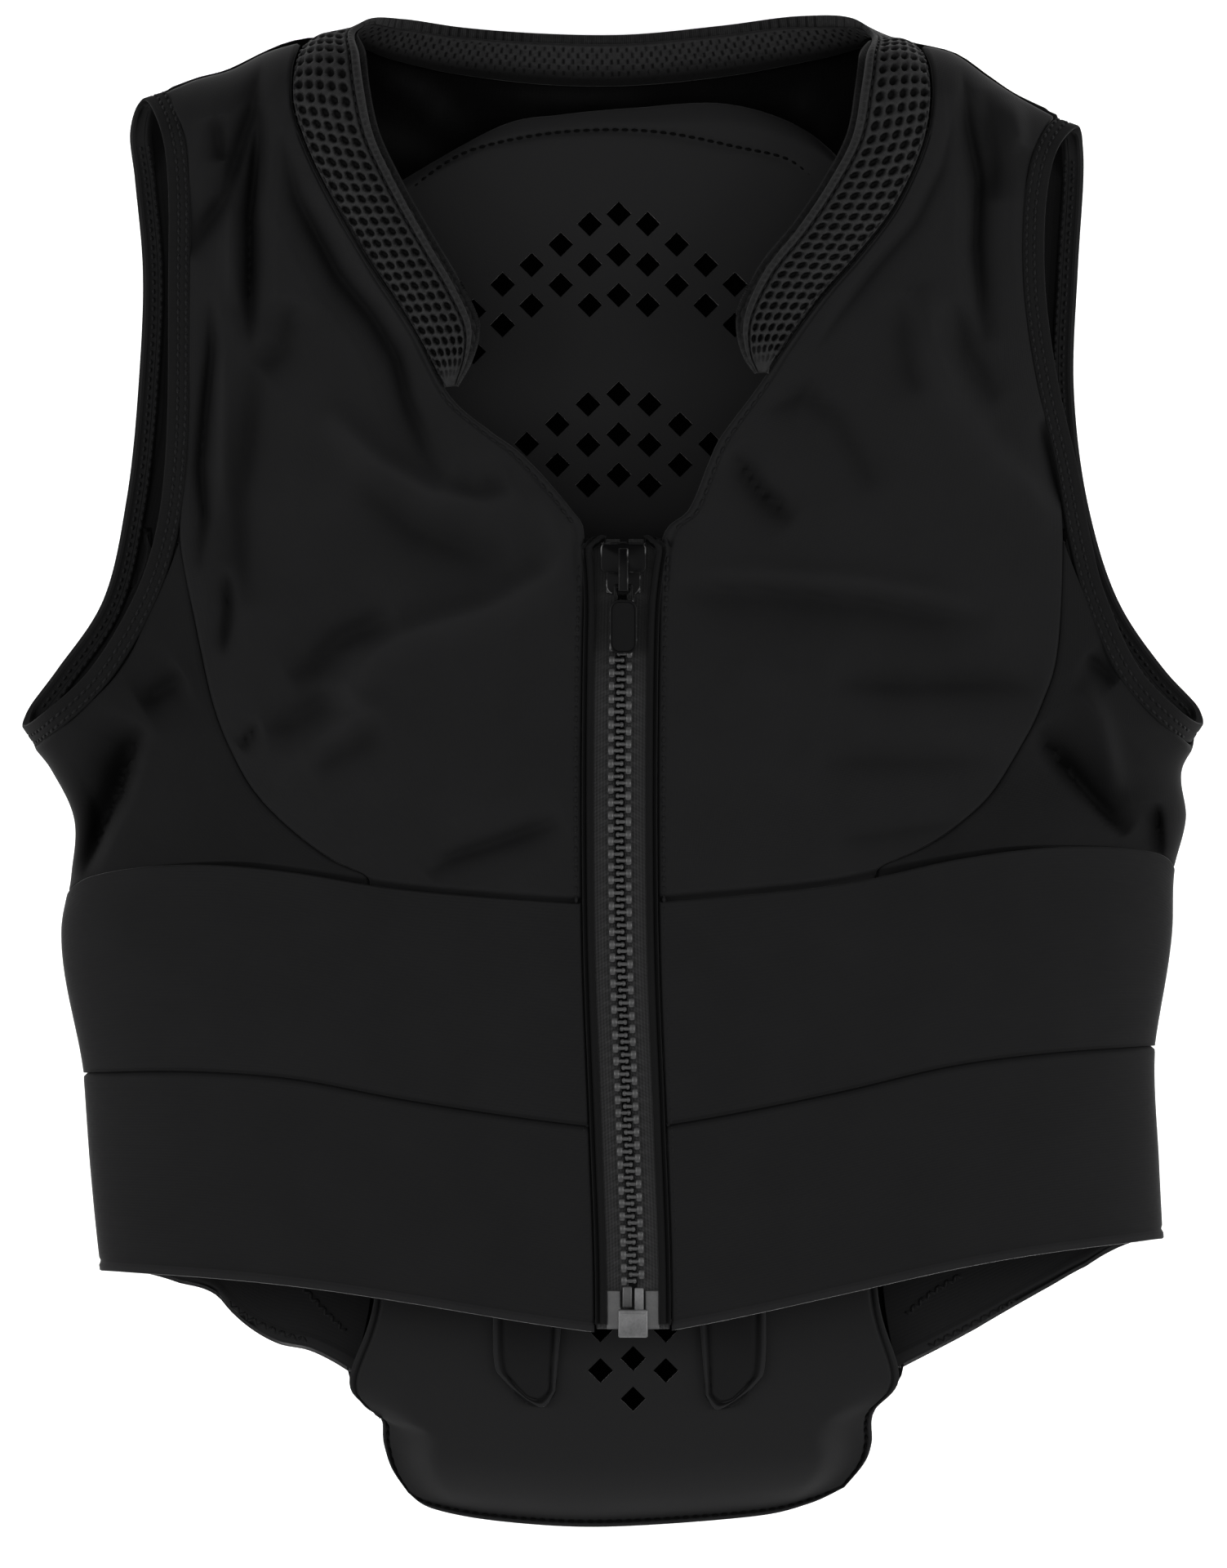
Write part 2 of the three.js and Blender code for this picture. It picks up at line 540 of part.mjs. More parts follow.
function outline(points) {
  const curve = new THREE.SplineCurve(points.map(([x, y]) => new THREE.Vector2(x, y)));
  return { at: (t) => curve.getPointAt(t), length: curve.getLength() };
}

// A patch of the plane filled in between four edges, drawn in by half a seam gap all round
function patch(bottom, top, left, right, inset = SEAM_GAP / 2) {
  const insetU = (2 * inset) / (bottom.length + top.length);
  const insetV = (2 * inset) / (left.length + right.length);
  const corners = [bottom.at(0), bottom.at(1), top.at(0), top.at(1)];
  return (s, t) => {
    const u = THREE.MathUtils.lerp(insetU, 1 - insetU, s);
    const v = THREE.MathUtils.lerp(insetV, 1 - insetV, t);
    const point = new THREE.Vector2();
    point.addScaledVector(bottom.at(u), 1 - v).addScaledVector(top.at(u), v);
    point.addScaledVector(left.at(v), 1 - u).addScaledVector(right.at(v), u);
    point.addScaledVector(corners[0], -(1 - u) * (1 - v)).addScaledVector(corners[1], -u * (1 - v));
    return point.addScaledVector(corners[2], -(1 - u) * v).addScaledVector(corners[3], -u * v);
  };
}

function evenly(count) {
  return Array.from({ length: count + 1 }, (_, i) => i / count);
}

// Steps that lie close together at both ends
function closeAtEnds(count) {
  return evenly(count).map((t) => 0.5 - 0.5 * Math.cos(Math.PI * t));
}

// Steps that lie close together at the far end
function closeAtFarEnd(count, closeness) {
  return evenly(count).map((t) => 1 - (1 - t) ** closeness);
}

function grid(surface, us, vs) {
  return us.map((u) => vs.map((v) => surface(u, v)));
}

// Outward unit directions of a grid of points, from the steps to each point's neighbours
function normals(points, closed, outward) {
  const last = points.length - 1;
  return points.map((row, i) => row.map((_, j) => {
    const before = points[closed ? (i + last) % (last + 1) : Math.max(i - 1, 0)];
    const after = points[closed ? (i + 1) % (last + 1) : Math.min(i + 1, last)];
    const along = after[j].clone().sub(before[j]);
    const across = row[Math.min(j + 1, row.length - 1)].clone().sub(row[Math.max(j - 1, 0)]);
    return along.cross(across).normalize().multiplyScalar(outward);
  }));
}

// A closed body between an outer and an inner grid of points
function bodyBetween(outer, inner, closed, outward) {
  const width = outer[0].length;
  const count = outer.length * width;
  const position = [...outer.flat(), ...inner.flat()].flatMap((p) => p.toArray());
  const index = [];
  const quad = (a, b, c, d) => (outward > 0 ? index.push(a, b, c, a, c, d) : index.push(a, c, b, a, d, c));
  const steps = closed ? outer.length : outer.length - 1;
  for (let i = 0; i < steps; i++) {
    const here = i * width;
    const next = ((i + 1) % outer.length) * width;
    for (let j = 0; j < width - 1; j++) {
      quad(here + j, next + j, next + j + 1, here + j + 1);
      quad(count + here + j, count + here + j + 1, count + next + j + 1, count + next + j);
    }
    quad(here, count + here, count + next, next);
    quad(next + width - 1, count + next + width - 1, count + here + width - 1, here + width - 1);
  }
  if (!closed) {
    const end = (outer.length - 1) * width;
    for (let j = 0; j < width - 1; j++) {
      quad(j, j + 1, count + j + 1, count + j);
      quad(end + j + 1, end + j, count + end + j, count + end + j + 1);
    }
  }
  const geometry = new THREE.BufferGeometry();
  geometry.setAttribute('position', new THREE.Float32BufferAttribute(position, 3));
  geometry.setIndex(index);
  return geometry;
}

// A wall of even thickness under an outer surface
function wall(surface, us, vs, thickness, { sink = 0, closed = false, outward = 1 } = {}) {
  const points = grid(surface, us, vs);
  const out = normals(points, closed, outward);
  const shifted = (depth) => points.map((row, i) => (
    row.map((p, j) => p.clone().addScaledVector(out[i][j], -depth))
  ));
  return bodyBetween(shifted(sink), shifted(sink + thickness), closed, outward);
}

function solid(geometry) {
  const bare = geometry.clone();
  bare.deleteAttribute('normal');
  bare.deleteAttribute('uv');
  const merged = mergeVertices(bare);
  return new wasm.Manifold(new wasm.Mesh({
    numProp: 3,
    vertProperties: Float32Array.from(merged.attributes.position.array),
    triVerts: Uint32Array.from(merged.index.array),
  }));
}

function geometryOf(manifold) {
  const mesh = manifold.getMesh();
  const geometry = new THREE.BufferGeometry();
  geometry.setAttribute('position', new THREE.BufferAttribute(Float32Array.from(mesh.vertProperties), 3));
  geometry.setIndex(Array.from(mesh.triVerts));
  return geometry;
}

function join(...geometries) {
  return geometryOf(geometries.map(solid).reduce((all, next) => all.add(next)));
}

function cut(geometry, ...tools) {
  return geometryOf(tools.map(solid).reduce((left, tool) => left.subtract(tool), solid(geometry)));
}

const vest = new THREE.Group();

function piece(name, geometry, material, parent = vest) {
  const mesh = new THREE.Mesh(geometry, new THREE.MeshStandardMaterial(material));
  mesh.name = name;
  parent.add(mesh);
  return mesh;
}

const pair = (value) => ({ left: value('left'), right: value('right') });
const seamPoints = { left: CHEST_SEAM_LEFT, right: CHEST_SEAM_RIGHT };
const outwardOf = { left: -1, right: 1 };

function zipEdge(side, y) {
  return zipLine(y) + outwardOf[side] * FRONT_EDGE;
}

const bandLines = pair((side) => {
  const rows = side === 'left' ? BAND_LINES_LEFT : BAND_LINES_RIGHT;
  return {
    top: column(rows, 'turn', 'top'),
    split: column(rows, 'turn', 'split'),
    hem: column(rows, 'turn', 'hem'),
  };
});

// The front part of a band's upper edge, from the zip to the chest seam, in the plane
function bandTopEdge(side) {
  const seam = seamPoints[side][0];
  const zipTop = bandLines[side].top(0);
  const start = turnAt(side, zipEdge(side, zipTop), zipTop);
  const end = turnAt(side, seam[0], seam[1]);
  const points = evenly(EDGE_STEPS).slice(0, -1).map((t) => {
    const turn = THREE.MathUtils.lerp(start, end, t);
    const p = wrap(side, turn, bandLines[side].top(turn));
    return [p.x, p.y];
  });
  return [...points, seam];
}

function addChestPanel(side) {
  const bottom = bandTopEdge(side);
  const neck = side === 'left' ? NECK_LEFT : NECK_RIGHT;
  const armhole = side === 'left' ? ARMHOLE_SEAM_LEFT : ARMHOLE_SEAM_RIGHT;
  const zipSide = ZIP_EDGE_HEIGHTS.map((y) => [zipEdge(side, y), y]);
  const inner = outline([bottom[0], ...zipSide, ...neck]);
  const outer = outline([...seamPoints[side], ...armhole]);
  const [neckX, neckY] = neck.at(-1);
  const [armX, armY] = armhole.at(-1);
  const between = evenly(EDGE_STEPS).slice(1, -1).map((t) => THREE.MathUtils.lerp(armX, neckX, t));
  const shoulder = [[armX, armY], ...between.map((x) => [x, shoulderLine(x)]), [neckX, neckY]];
  const across = side === 'left'
    ? patch(outline(bottom.toReversed()), outline(shoulder), outer, inner)
    : patch(outline(bottom), outline(shoulder.toReversed()), inner, outer);
  const surface = (u, v) => frontPoint(across(u, v));
  const rising = closeAtFarEnd(CHEST_STEPS.up, CHEST_STEPS.crowding);
  const geometry = wall(surface, evenly(CHEST_STEPS.across), rising, CLOTH, { sink: CLOTH_SINK });
  piece(`chest_panel_${side}`, geometry, BLACK_CLOTH);
}

function addSidePanel(side) {
  const underarmFront = side === 'left' ? UNDERARM_FRONT_LEFT : UNDERARM_FRONT_RIGHT;
  const underarmBack = side === 'left' ? UNDERARM_BACK_LEFT : UNDERARM_BACK_RIGHT;
  const unrolled = ([turn, y]) => [TURN_LENGTH * turn, y];
  const onFront = ([x, y]) => unrolled([turnAt(side, x, y), y]);
  const onBack = ([x, y]) => unrolled([turnBehind(side, x, y), y]);
  const seam = densely(seamPoints[side], SIDE_STEPS.seam).map(onFront);
  const end = turnAt(side, ...seamPoints[side][0]);
  const turns = evenly(SIDE_STEPS.hem).map((t) => THREE.MathUtils.lerp(end, 2, t));
  const bottom = turns.map((turn) => unrolled([turn, bandLines[side].top(turn) + LAYER_GAP]));
  bottom[0] = seam[0];
  const tip = unrolled([1, UNDERARM_TIP]);
  const seamEnd = unrolled([2, BACK_SEAM_END]);
  const top = [seam.at(-1), ...underarmFront.map(onFront), tip, ...underarmBack.map(onBack), seamEnd];
  const behind = [bottom.at(-1), ...BACK_SEAM_HEIGHTS.map((y) => unrolled([2, y])), top.at(-1)];
  const across = patch(outline(bottom), outline(top), outline(seam), outline(behind), SIDE_PANEL_INSET);
  const surface = (u, v) => {
    const p = across(u, v);
    return wrap(side, p.x / TURN_LENGTH, p.y);
  };
  const options = { sink: CLOTH_SINK, outward: outwardOf[side] };
  const geometry = wall(surface, evenly(SIDE_STEPS.across), evenly(SIDE_STEPS.up), CLOTH, options);
  piece(`side_panel_${side}`, geometry, BLACK_CLOTH);
}

function addBand(side, name, upper, lower) {
  const turns = [...evenly(BAND_STEPS.front), ...BAND_TURNS_BEHIND];
  const surface = (turn, v) => {
    const y = THREE.MathUtils.lerp(lower(turn) + SEAM_GAP / 2, upper(turn) - SEAM_GAP / 2, v);
    const first = turnAt(side, zipEdge(side, y) + outwardOf[side] * SEAM_GAP / 2, y);
    const point = wrap(side, Math.max(turn, first), y);
    if (turn === 2) {
      point.x += outwardOf[side] * SEAM_GAP / 2;
    }
    return point;
  };
  const geometry = wall(surface, turns, evenly(BAND_STEPS.up), BAND, { outward: outwardOf[side] });
  piece(`${name}_${side}`, geometry, BLACK_BAND);
}

function addBackShell() {
  const seamX = (side, y) => outwardOf[side] * (backSeam[side](y) - SHELL_MARGIN);
  const seamEdge = (side) => SHELL_SEAM_HEIGHTS.map((y) => [seamX(side, y), y]);
  const tail = (points, sign) => points.map(([x, y]) => [x + sign * SHELL_TAIL_MARGIN, y]);
  const leftTail = tail(PLATE_LEFT.slice(0, SHELL_TAIL_POINTS.left), -1);
  const left = outline([...leftTail, ...seamEdge('left'), ...SHELL_LEFT_TOP]);
  const rightTail = tail(PLATE_RIGHT.slice(0, SHELL_TAIL_POINTS.right), 1);
  const right = outline([...rightTail, ...seamEdge('right'), ...SHELL_RIGHT_TOP]);
  const bottom = outline([left.at(0).toArray(), ...PLATE_TAIL.slice(1, -1), right.at(0).toArray()]);
  const foldPoint = (x) => [x, shoulderLine(x)];
  const top = outline([
    SHELL_LEFT_TOP.at(-1), ...SHELL_FOLD_LEFT.map(foldPoint), ...SHELL_NECK,
    ...SHELL_FOLD_RIGHT.map(foldPoint), SHELL_RIGHT_TOP.at(-1),
  ]);
  const across = patch(bottom, top, left, right);
  const surface = (u, v) => {
    const p = across(u, v);
    return new THREE.Vector3(p.x, p.y, back(p.x, p.y));
  };
  const rising = closeAtFarEnd(SHELL_STEPS.up, SHELL_STEPS.crowding);
  const geometry = wall(surface, evenly(SHELL_STEPS.across), rising, BACK_CLOTH, { outward: -1 });
  piece('back_shell', geometry, BLACK_CLOTH);
}

function addBackPlate() {
  const left = outline(PLATE_LEFT);
  const right = outline(PLATE_RIGHT);
  const across = patch(outline(PLATE_TAIL), outline(PLATE_HEAD), left, right, 0);
  const border = (t, length, flange) => roll(Math.min(t, 1 - t) * length - flange, PLATE_ROLL);
  const us = closeAtEnds(PLATE_STEPS.across);
  const vs = closeAtEnds(PLATE_STEPS.up);
  const top = (u, v) => {
    const p = across(u, v);
    const width = right.at(v).distanceTo(left.at(v));
    const height = (left.length + right.length) / 2;
    const endFlange = v > 0.5 ? 2 * PLATE_FLANGE : PLATE_FLANGE;
    const full = border(u, width, PLATE_FLANGE) * border(v, height, endFlange);
    return new THREE.Vector3(p.x, p.y, PLATE_FLANGE_TOP + (PLATE_TOP - PLATE_FLANGE_TOP) * full);
  };
  const floor = (u, v) => top(u, v).setZ(PLATE_BOTTOM);
  const block = bodyBetween(grid(top, us, vs), grid(floor, us, vs), false, 1);
  const holes = [];
  for (const group of DIAMOND_GROUPS) {
    for (const { column: offset, top: highest, count } of group.columns) {
      for (const sign of offset === 0 ? [1] : [-1, 1]) {
        for (let k = 0; k < count; k++) {
          const hole = new THREE.CylinderGeometry(DIAMOND_RADIUS, DIAMOND_RADIUS, 2 * PLATE_TOP, 4);
          hole.rotateX(Math.PI / 2);
          hole.translate(group.x + sign * offset * group.step, highest - k * DIAMOND_PITCH, PLATE_TOP / 2);
          holes.push(hole);
        }
      }
    }
  }
  piece('back_plate', cut(block, ...holes), BLACK_FOAM);
}

function addTailFlap(side, { outer, inner, shoulder, tip, innerLow }) {
  const shape = new THREE.Shape();
  shape.moveTo(outer, FLAP_TOP);
  shape.lineTo(outer, shoulder);
  const slantX = THREE.MathUtils.lerp(tip[0], outer, FLAP_SLANT);
  shape.quadraticCurveTo(outer, shoulder - FLAP_BEND, slantX, tip[1] + FLAP_SLANT_RISE);
  shape.quadraticCurveTo(tip[0], tip[1], innerLow[0], innerLow[1]);
  shape.lineTo(inner, FLAP_TOP);
  shape.closePath();
  const options = { depth: FLAP, bevelEnabled: false, curveSegments: ARC_STEPS };
  const geometry = new THREE.ExtrudeGeometry(shape, options);
  piece(`tail_flap_${side}`, geometry, BLACK_FOAM).position.z = PLATE_TOP + LAYER_GAP;
}

function ribbonSurface(first, second, closed) {
  const firstCurve = new THREE.CatmullRomCurve3(first, closed);
  const secondCurve = new THREE.CatmullRomCurve3(second, closed);
  return (u, v) => firstCurve.getPoint(u).lerp(secondCurve.getPoint(u), v);
}

function addCollar() {
  const lowest = 0.6;
  const seam = COLLAR_ROWS.map(({ seamX, seamY, lift }) => (
    new THREE.Vector3(seamX, seamY, THREE.MathUtils.lerp(lowest, front(seamX, seamY) + lowest, lift))
  ));
  const rim = COLLAR_ROWS.map(({ rimX, rimY, rise }, i) => new THREE.Vector3(rimX, rimY, seam[i].z + rise));
  const surface = ribbonSurface(seam, rim, false);
  const along = evenly(COLLAR_STEPS.row * (COLLAR_ROWS.length - 1));
  const geometry = wall(surface, along, evenly(COLLAR_STEPS.up), COLLAR, { outward: -1 });
  piece('collar_band', geometry, BLACK_MESH);
}

function addArmholeBinding(side, rows) {
  const lowest = 0.2;
  const height = (x, y, lift) => THREE.MathUtils.lerp(lowest, front(x, y), lift);
  const edge = rows.map(({ x, y, lift }) => new THREE.Vector3(x, y, height(x, y, lift)));
  const seam = rows.map(({ x, y, lift, stepX, stepY }) => (
    new THREE.Vector3(x + stepX, y + stepY, height(x + stepX, y + stepY, lift))
  ));
  const ribbon = ribbonSurface(edge, seam, true);
  const surface = (u, v) => {
    const point = ribbon(u, v);
    return point.setZ(Math.max(point.z, lowest));
  };
  const around = evenly(BINDING_STEPS.row * rows.length).slice(0, -1);
  const options = { closed: true, outward: -outwardOf[side] };
  const geometry = wall(surface, around, evenly(BINDING_STEPS.across), BINDING, options);
  piece(`armhole_binding_${side}`, geometry, BLACK_CLOTH);
}

// A point beside the middle line of the zip
function zipPoint(across, y, up) {
  const x = zipLine(y);
  return new THREE.Vector3(x + across, y, front(x, y) + up);
}

// A group that lies on the zip at a height along it, turned to the slope there
function groupOnZip(y) {
  const group = new THREE.Group();
  const step = 5;
  const rise = zipPoint(0, y + step, 0).z - zipPoint(0, y - step, 0).z;
  group.position.copy(zipPoint(0, y, 0));
  group.rotation.x = Math.atan2(rise, 2 * step);
  vest.add(group);
  return group;
}

// A strip along the zip between two distances from its middle
function zipStrip(side, inner, outer, top, thickness, start, end, steps) {
  const sign = outwardOf[side];
  const across = (v) => sign * THREE.MathUtils.lerp(inner, outer, v);
  const surface = (u, v) => zipPoint(across(v), THREE.MathUtils.lerp(start, end, u), top);
  return wall(surface, evenly(steps), evenly(1), thickness, { outward: -sign });
}

function addZipTapes(side) {
  const tape = zipStrip(side, TAPE_INNER, TAPE_OUTER, TAPE_TOP, TAPE, TAPE_START, TAPE_END, ZIP_STEPS.along);
  piece(`zip_tape_${side}`, tape, DARK_TAPE);
  const welt = zipStrip(side, WELT_INNER, WELT_OUTER, WELT_TOP, WELT, WELT_START, TAPE_END, ZIP_STEPS.along);
  piece(`zip_welt_${side}`, welt, BLACK_CLOTH);
  const filmTop = TAPE_TOP + LAYER_GAP + FILM;
  const filmInner = FOOT_WIDTH / 2 + LAYER_GAP;
  const filmOuter = WELT_INNER - LAYER_GAP;
  const film = zipStrip(side, filmInner, filmOuter, filmTop, FILM, TAPE_START, FILM_END, ZIP_STEPS.film);
  piece(`zip_end_film_${side}`, film, GREY_FILM);
}

// One row of teeth: a strip along the tape with teeth that reach past the middle of the zip
function addZipTeeth(side) {
  const sign = outwardOf[side];
  const shift = side === 'left' ? 0 : TEETH_PITCH / 2;
  const height = TEETH_TOP - TEETH_BOTTOM;
  const end = TEETH_START + TEETH_COUNT * TEETH_PITCH;
  const steps = ZIP_STEPS.along;
  const strip = zipStrip(side, TEETH_ROOT, TEETH_OUTER, TEETH_TOP, height, TEETH_START, end, steps);
  const length = TOOTH_REACH + TEETH_ROOT + TOOTH_BITE;
  const teeth = Array.from({ length: TEETH_COUNT }, (_, i) => {
    const y = TEETH_START + (i + TOOTH_PHASE) * TEETH_PITCH + shift;
    const p = zipPoint(sign * (length / 2 - TOOTH_REACH), y, (TEETH_TOP + TEETH_BOTTOM) / 2);
    return box(length, TOOTH_LENGTH, height - 2 * TOOTH_STEP, p.x, p.y, p.z);
  });
  piece(`zip_teeth_${side}`, join(strip, ...teeth), ZIP_PLASTIC);
}

function box(width, depth, height, x, y, z) {
  return new THREE.BoxGeometry(width, depth, height).translate(x, y, z);
}

function roundedRectangle(width, length, radius) {
  const shape = new THREE.Shape();
  const x = width / 2 - radius;
  const y = length / 2 - radius;
  shape.absarc(x, y, radius, 0, Math.PI / 2);
  shape.absarc(-x, y, radius, Math.PI / 2, Math.PI);
  shape.absarc(-x, -y, radius, Math.PI, 1.5 * Math.PI);
  shape.absarc(x, -y, radius, 1.5 * Math.PI, 2 * Math.PI);
  shape.closePath();
  return shape;
}

function plate(width, length, radius, thickness, z) {
  const shape = roundedRectangle(width, length, radius);
  const options = { depth: thickness, bevelEnabled: false, curveSegments: ARC_STEPS };
  return new THREE.ExtrudeGeometry(shape, options).translate(0, 0, z);
}

// A cylinder along X
function barX(radius, length, y, z) {
  const bar = new THREE.CylinderGeometry(radius, radius, length, BAR_STEPS);
  return bar.rotateZ(Math.PI / 2).translate(0, y, z);
}

function addSlider() {
  const group = groupOnZip(SLIDER_Y);
  const plateBottom = SLIDER_TOP - SLIDER_PLATE;
  const topPlate = plate(SLIDER_WIDTH, SLIDER_LENGTH, SLIDER_CORNER, SLIDER_PLATE, plateBottom);
  const lowPlate = plate(SLIDER_WIDTH, SLIDER_LENGTH, SLIDER_CORNER, SLIDER_LOW_PLATE, SLIDER_BELOW);
  const postY = (SLIDER_LENGTH - SLIDER_POST_LENGTH) / 2 - SLIDER_POST_MARGIN;
  const postHeight = SLIDER_TOP - SLIDER_BELOW - SLIDER_LOW_PLATE;
  const postMiddle = (SLIDER_TOP + SLIDER_BELOW) / 2;
  const post = box(SLIDER_POST, SLIDER_POST_LENGTH, postHeight, 0, postY, postMiddle);
  const lipTop = SLIDER_TOP - SLIDER_PLATE / 2;
  const lipBottom = TAPE_TOP + LAYER_GAP;
  const lipX = SLIDER_WIDTH / 2 - SLIDER_LIP_MARGIN;
  const lips = [-1, 1].map((sign) => (
    box(SLIDER_LIP, SLIDER_LIP_LENGTH, lipTop - lipBottom, sign * lipX, 0, (lipTop + lipBottom) / 2)
  ));
  const crownMiddle = SLIDER_TOP + (CROWN_HEIGHT - CROWN_SINK) / 2;
  const crown = box(CROWN_WIDTH, CROWN_LENGTH, CROWN_HEIGHT + CROWN_SINK, 0, CROWN_SHIFT, crownMiddle);
  const hingeY = HINGE_Y - SLIDER_Y;
  const eye = barX(HINGE_RADIUS + HINGE_CLEARANCE, 2 * CROWN_WIDTH, hingeY, HINGE_HEIGHT);
  piece('zip_slider', cut(join(topPlate, lowPlate, post, ...lips, crown), eye), SLIDER_PAINT, group);

  const pullGroup = new THREE.Group();
  pullGroup.position.set(0, hingeY, HINGE_HEIGHT);
  pullGroup.rotation.x = PULL_TILT;
  group.add(pullGroup);
  const tab = plate(PULL_WIDTH, PULL_LENGTH, PULL_CORNER, PULL_THICKNESS, -PULL_THICKNESS / 2);
  tab.translate(0, PULL_OVERHANG - PULL_LENGTH / 2, 0);
  const pullEye = box(PULL_EYE_WIDTH, 2 * PULL_EYE_LENGTH, 2 * PULL_THICKNESS, 0, 0, 0);
  const pin = barX(HINGE_RADIUS, PULL_EYE_WIDTH + 2 * PULL_PIN_BITE, 0, 0);
  piece('zip_pull', join(cut(tab, pullEye), pin), SLIDER_PAINT, pullGroup);
}

function addZipFoot() {
  const low = TAPE_TOP + LAYER_GAP;
  const holder = groupOnZip(FOOT_Y);
  const boxBody = plate(FOOT_WIDTH, FOOT_LENGTH, FOOT_CORNER, FOOT_HEIGHT, low);
  const pinEnd = PIN_RISE + PIN_LENGTH / 2;
  const boxPinLength = pinEnd - FOOT_LENGTH / 2 + PIN_BITE;
  const boxPin = plate(PIN_WIDTH, boxPinLength, PIN_CORNER, PIN_HEIGHT, low);
  boxPin.translate(PIN_ASIDE, pinEnd - boxPinLength / 2, 0);
  piece('zip_box', join(boxBody, boxPin), ZIP_PLASTIC, holder);
  const pin = plate(PIN_WIDTH, PIN_LENGTH, PIN_CORNER, PIN_HEIGHT, low);
  piece('zip_pin', pin.translate(-PIN_ASIDE, PIN_RISE, 0), ZIP_PLASTIC, holder);
}

addBackShell();
addBackPlate();
addTailFlap('left', FLAP_LEFT);
addTailFlap('right', FLAP_RIGHT);
for (const side of ['left', 'right']) {
  addChestPanel(side);
  addSidePanel(side);
  addBand(side, 'upper_band', bandLines[side].top, bandLines[side].split);
  addBand(side, 'lower_band', bandLines[side].split, bandLines[side].hem);
  addArmholeBinding(side, side === 'left' ? ARMHOLE_ROWS_LEFT : ARMHOLE_ROWS_RIGHT);
  addZipTapes(side);
  addZipTeeth(side);
}
addCollar();
addSlider();
addZipFoot();

// The origin lies on the floor below the middle of the vest
vest.updateMatrixWorld(true);
const bounds = new THREE.Box3().setFromObject(vest);
const middle = bounds.getCenter(new THREE.Vector3());
vest.position.set(-middle.x, -middle.y, -bounds.min.z);

export default vest;
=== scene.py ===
"""A child's protective vest lying on its back, zip closed: the looks of each piece, and the stage."""
import functools
import json
import math
from bisect import bisect_left
from itertools import accumulate

import bmesh
import bpy
from mathutils import Matrix, Vector, noise


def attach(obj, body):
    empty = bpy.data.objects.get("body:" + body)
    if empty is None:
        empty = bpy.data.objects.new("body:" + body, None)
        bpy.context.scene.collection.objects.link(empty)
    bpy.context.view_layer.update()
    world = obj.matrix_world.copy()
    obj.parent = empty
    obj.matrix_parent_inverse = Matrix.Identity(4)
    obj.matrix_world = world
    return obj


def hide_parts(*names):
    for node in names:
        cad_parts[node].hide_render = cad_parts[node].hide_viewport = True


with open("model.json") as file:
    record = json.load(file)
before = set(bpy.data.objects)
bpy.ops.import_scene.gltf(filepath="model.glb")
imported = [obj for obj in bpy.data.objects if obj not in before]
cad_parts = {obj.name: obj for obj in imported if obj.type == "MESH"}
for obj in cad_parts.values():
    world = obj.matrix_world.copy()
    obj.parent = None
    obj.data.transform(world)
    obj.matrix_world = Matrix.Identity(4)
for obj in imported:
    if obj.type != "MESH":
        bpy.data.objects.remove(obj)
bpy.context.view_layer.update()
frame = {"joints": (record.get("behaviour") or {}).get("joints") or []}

bl_info = {
    "name": "Protective vest",
    "version": (1, 0, 0),
    "blender": (4, 5, 0),
    "location": "3D View > Sidebar > Vest",
    "description": "Builds the cloth, padding, zip and stitching of a protective vest",
    "category": "Object",
}

# Lengths in the tables are millimetres from the tables' own zero, which lies here in the frame
MM = 0.001
ZERO = Vector((-0.1, 0.0809, 0.0))
SIDES = {"left": -1, "right": 1}

# Ways that outer faces look: up, down, and out to each side for what goes round the body
UP = Vector((0, 0, 1))
DOWN = Vector((0, 0, -1))
OUTWARD = {side: Vector((sign, 0, 0.6)) for side, sign in SIDES.items()}

# Clearances and the shape of the closed vest's cross-section
SEAM_GAP = 0.06
SEAM_LAP = 0.15
TUCK = 2.5
CLOTH_SINK = 0.3
FOLD_DEPTH = 1.9
DOME_POWER = 2.4
SIDE_ROUND = 1.3
TURN_LENGTH = 130.0
FOLD_HEIGHT = 9.0
FRONT_ROLL = 14.0
BACK_ROLL = 9.0
OUTLINE_FADE = 0.05
CREASE_REACH = 3.0
CREASE_FADE = 0.35
# Painted shade per millimetre of crease valley, painted light per millimetre of ridge
VALLEY_SHADE = 0.12
RIDGE_LIGHT = 0.06
UNDER_BAND = (1.9, 2.6)

# Steps of a curve between two given points, along the collar and along a row of stitches
PATH_STEPS = 24
COLLAR_STEPS = 900
STITCH_STEPS = 600

# Sections: y, half width left, half width right, height along the middle, height of the widest point
SECTIONS = [
    (-142, 126, 138.5, 46, 14), (-122, 128, 137.8, 47, 15), (-100, 129.8, 136.2, 48.5, 16),
    (-73, 132.3, 135.2, 49, 17), (-40, 137.3, 139.4, 49, 16), (-26, 135.4, 140.3, 48.5, 13),
    (-12, 134.8, 143.6, 48, 10), (0, 140.5, 142.6, 47, 9), (11, 148, 148.2, 46, 8), (30, 141, 141, 45, 8),
    (60, 131, 131, 43, 7), (100, 128, 127, 41, 6), (150, 127, 126, 38, 6), (190, 126, 125, 36, 6),
]

# Fold line over the shoulders: x, y
SHOULDERS = [
    (-121, 165.5), (-114, 170), (-96, 175.3), (-80, 182.4), (73, 181.8), (84, 180.2), (100, 169.6),
    (110, 164.8), (119, 160.5),
]

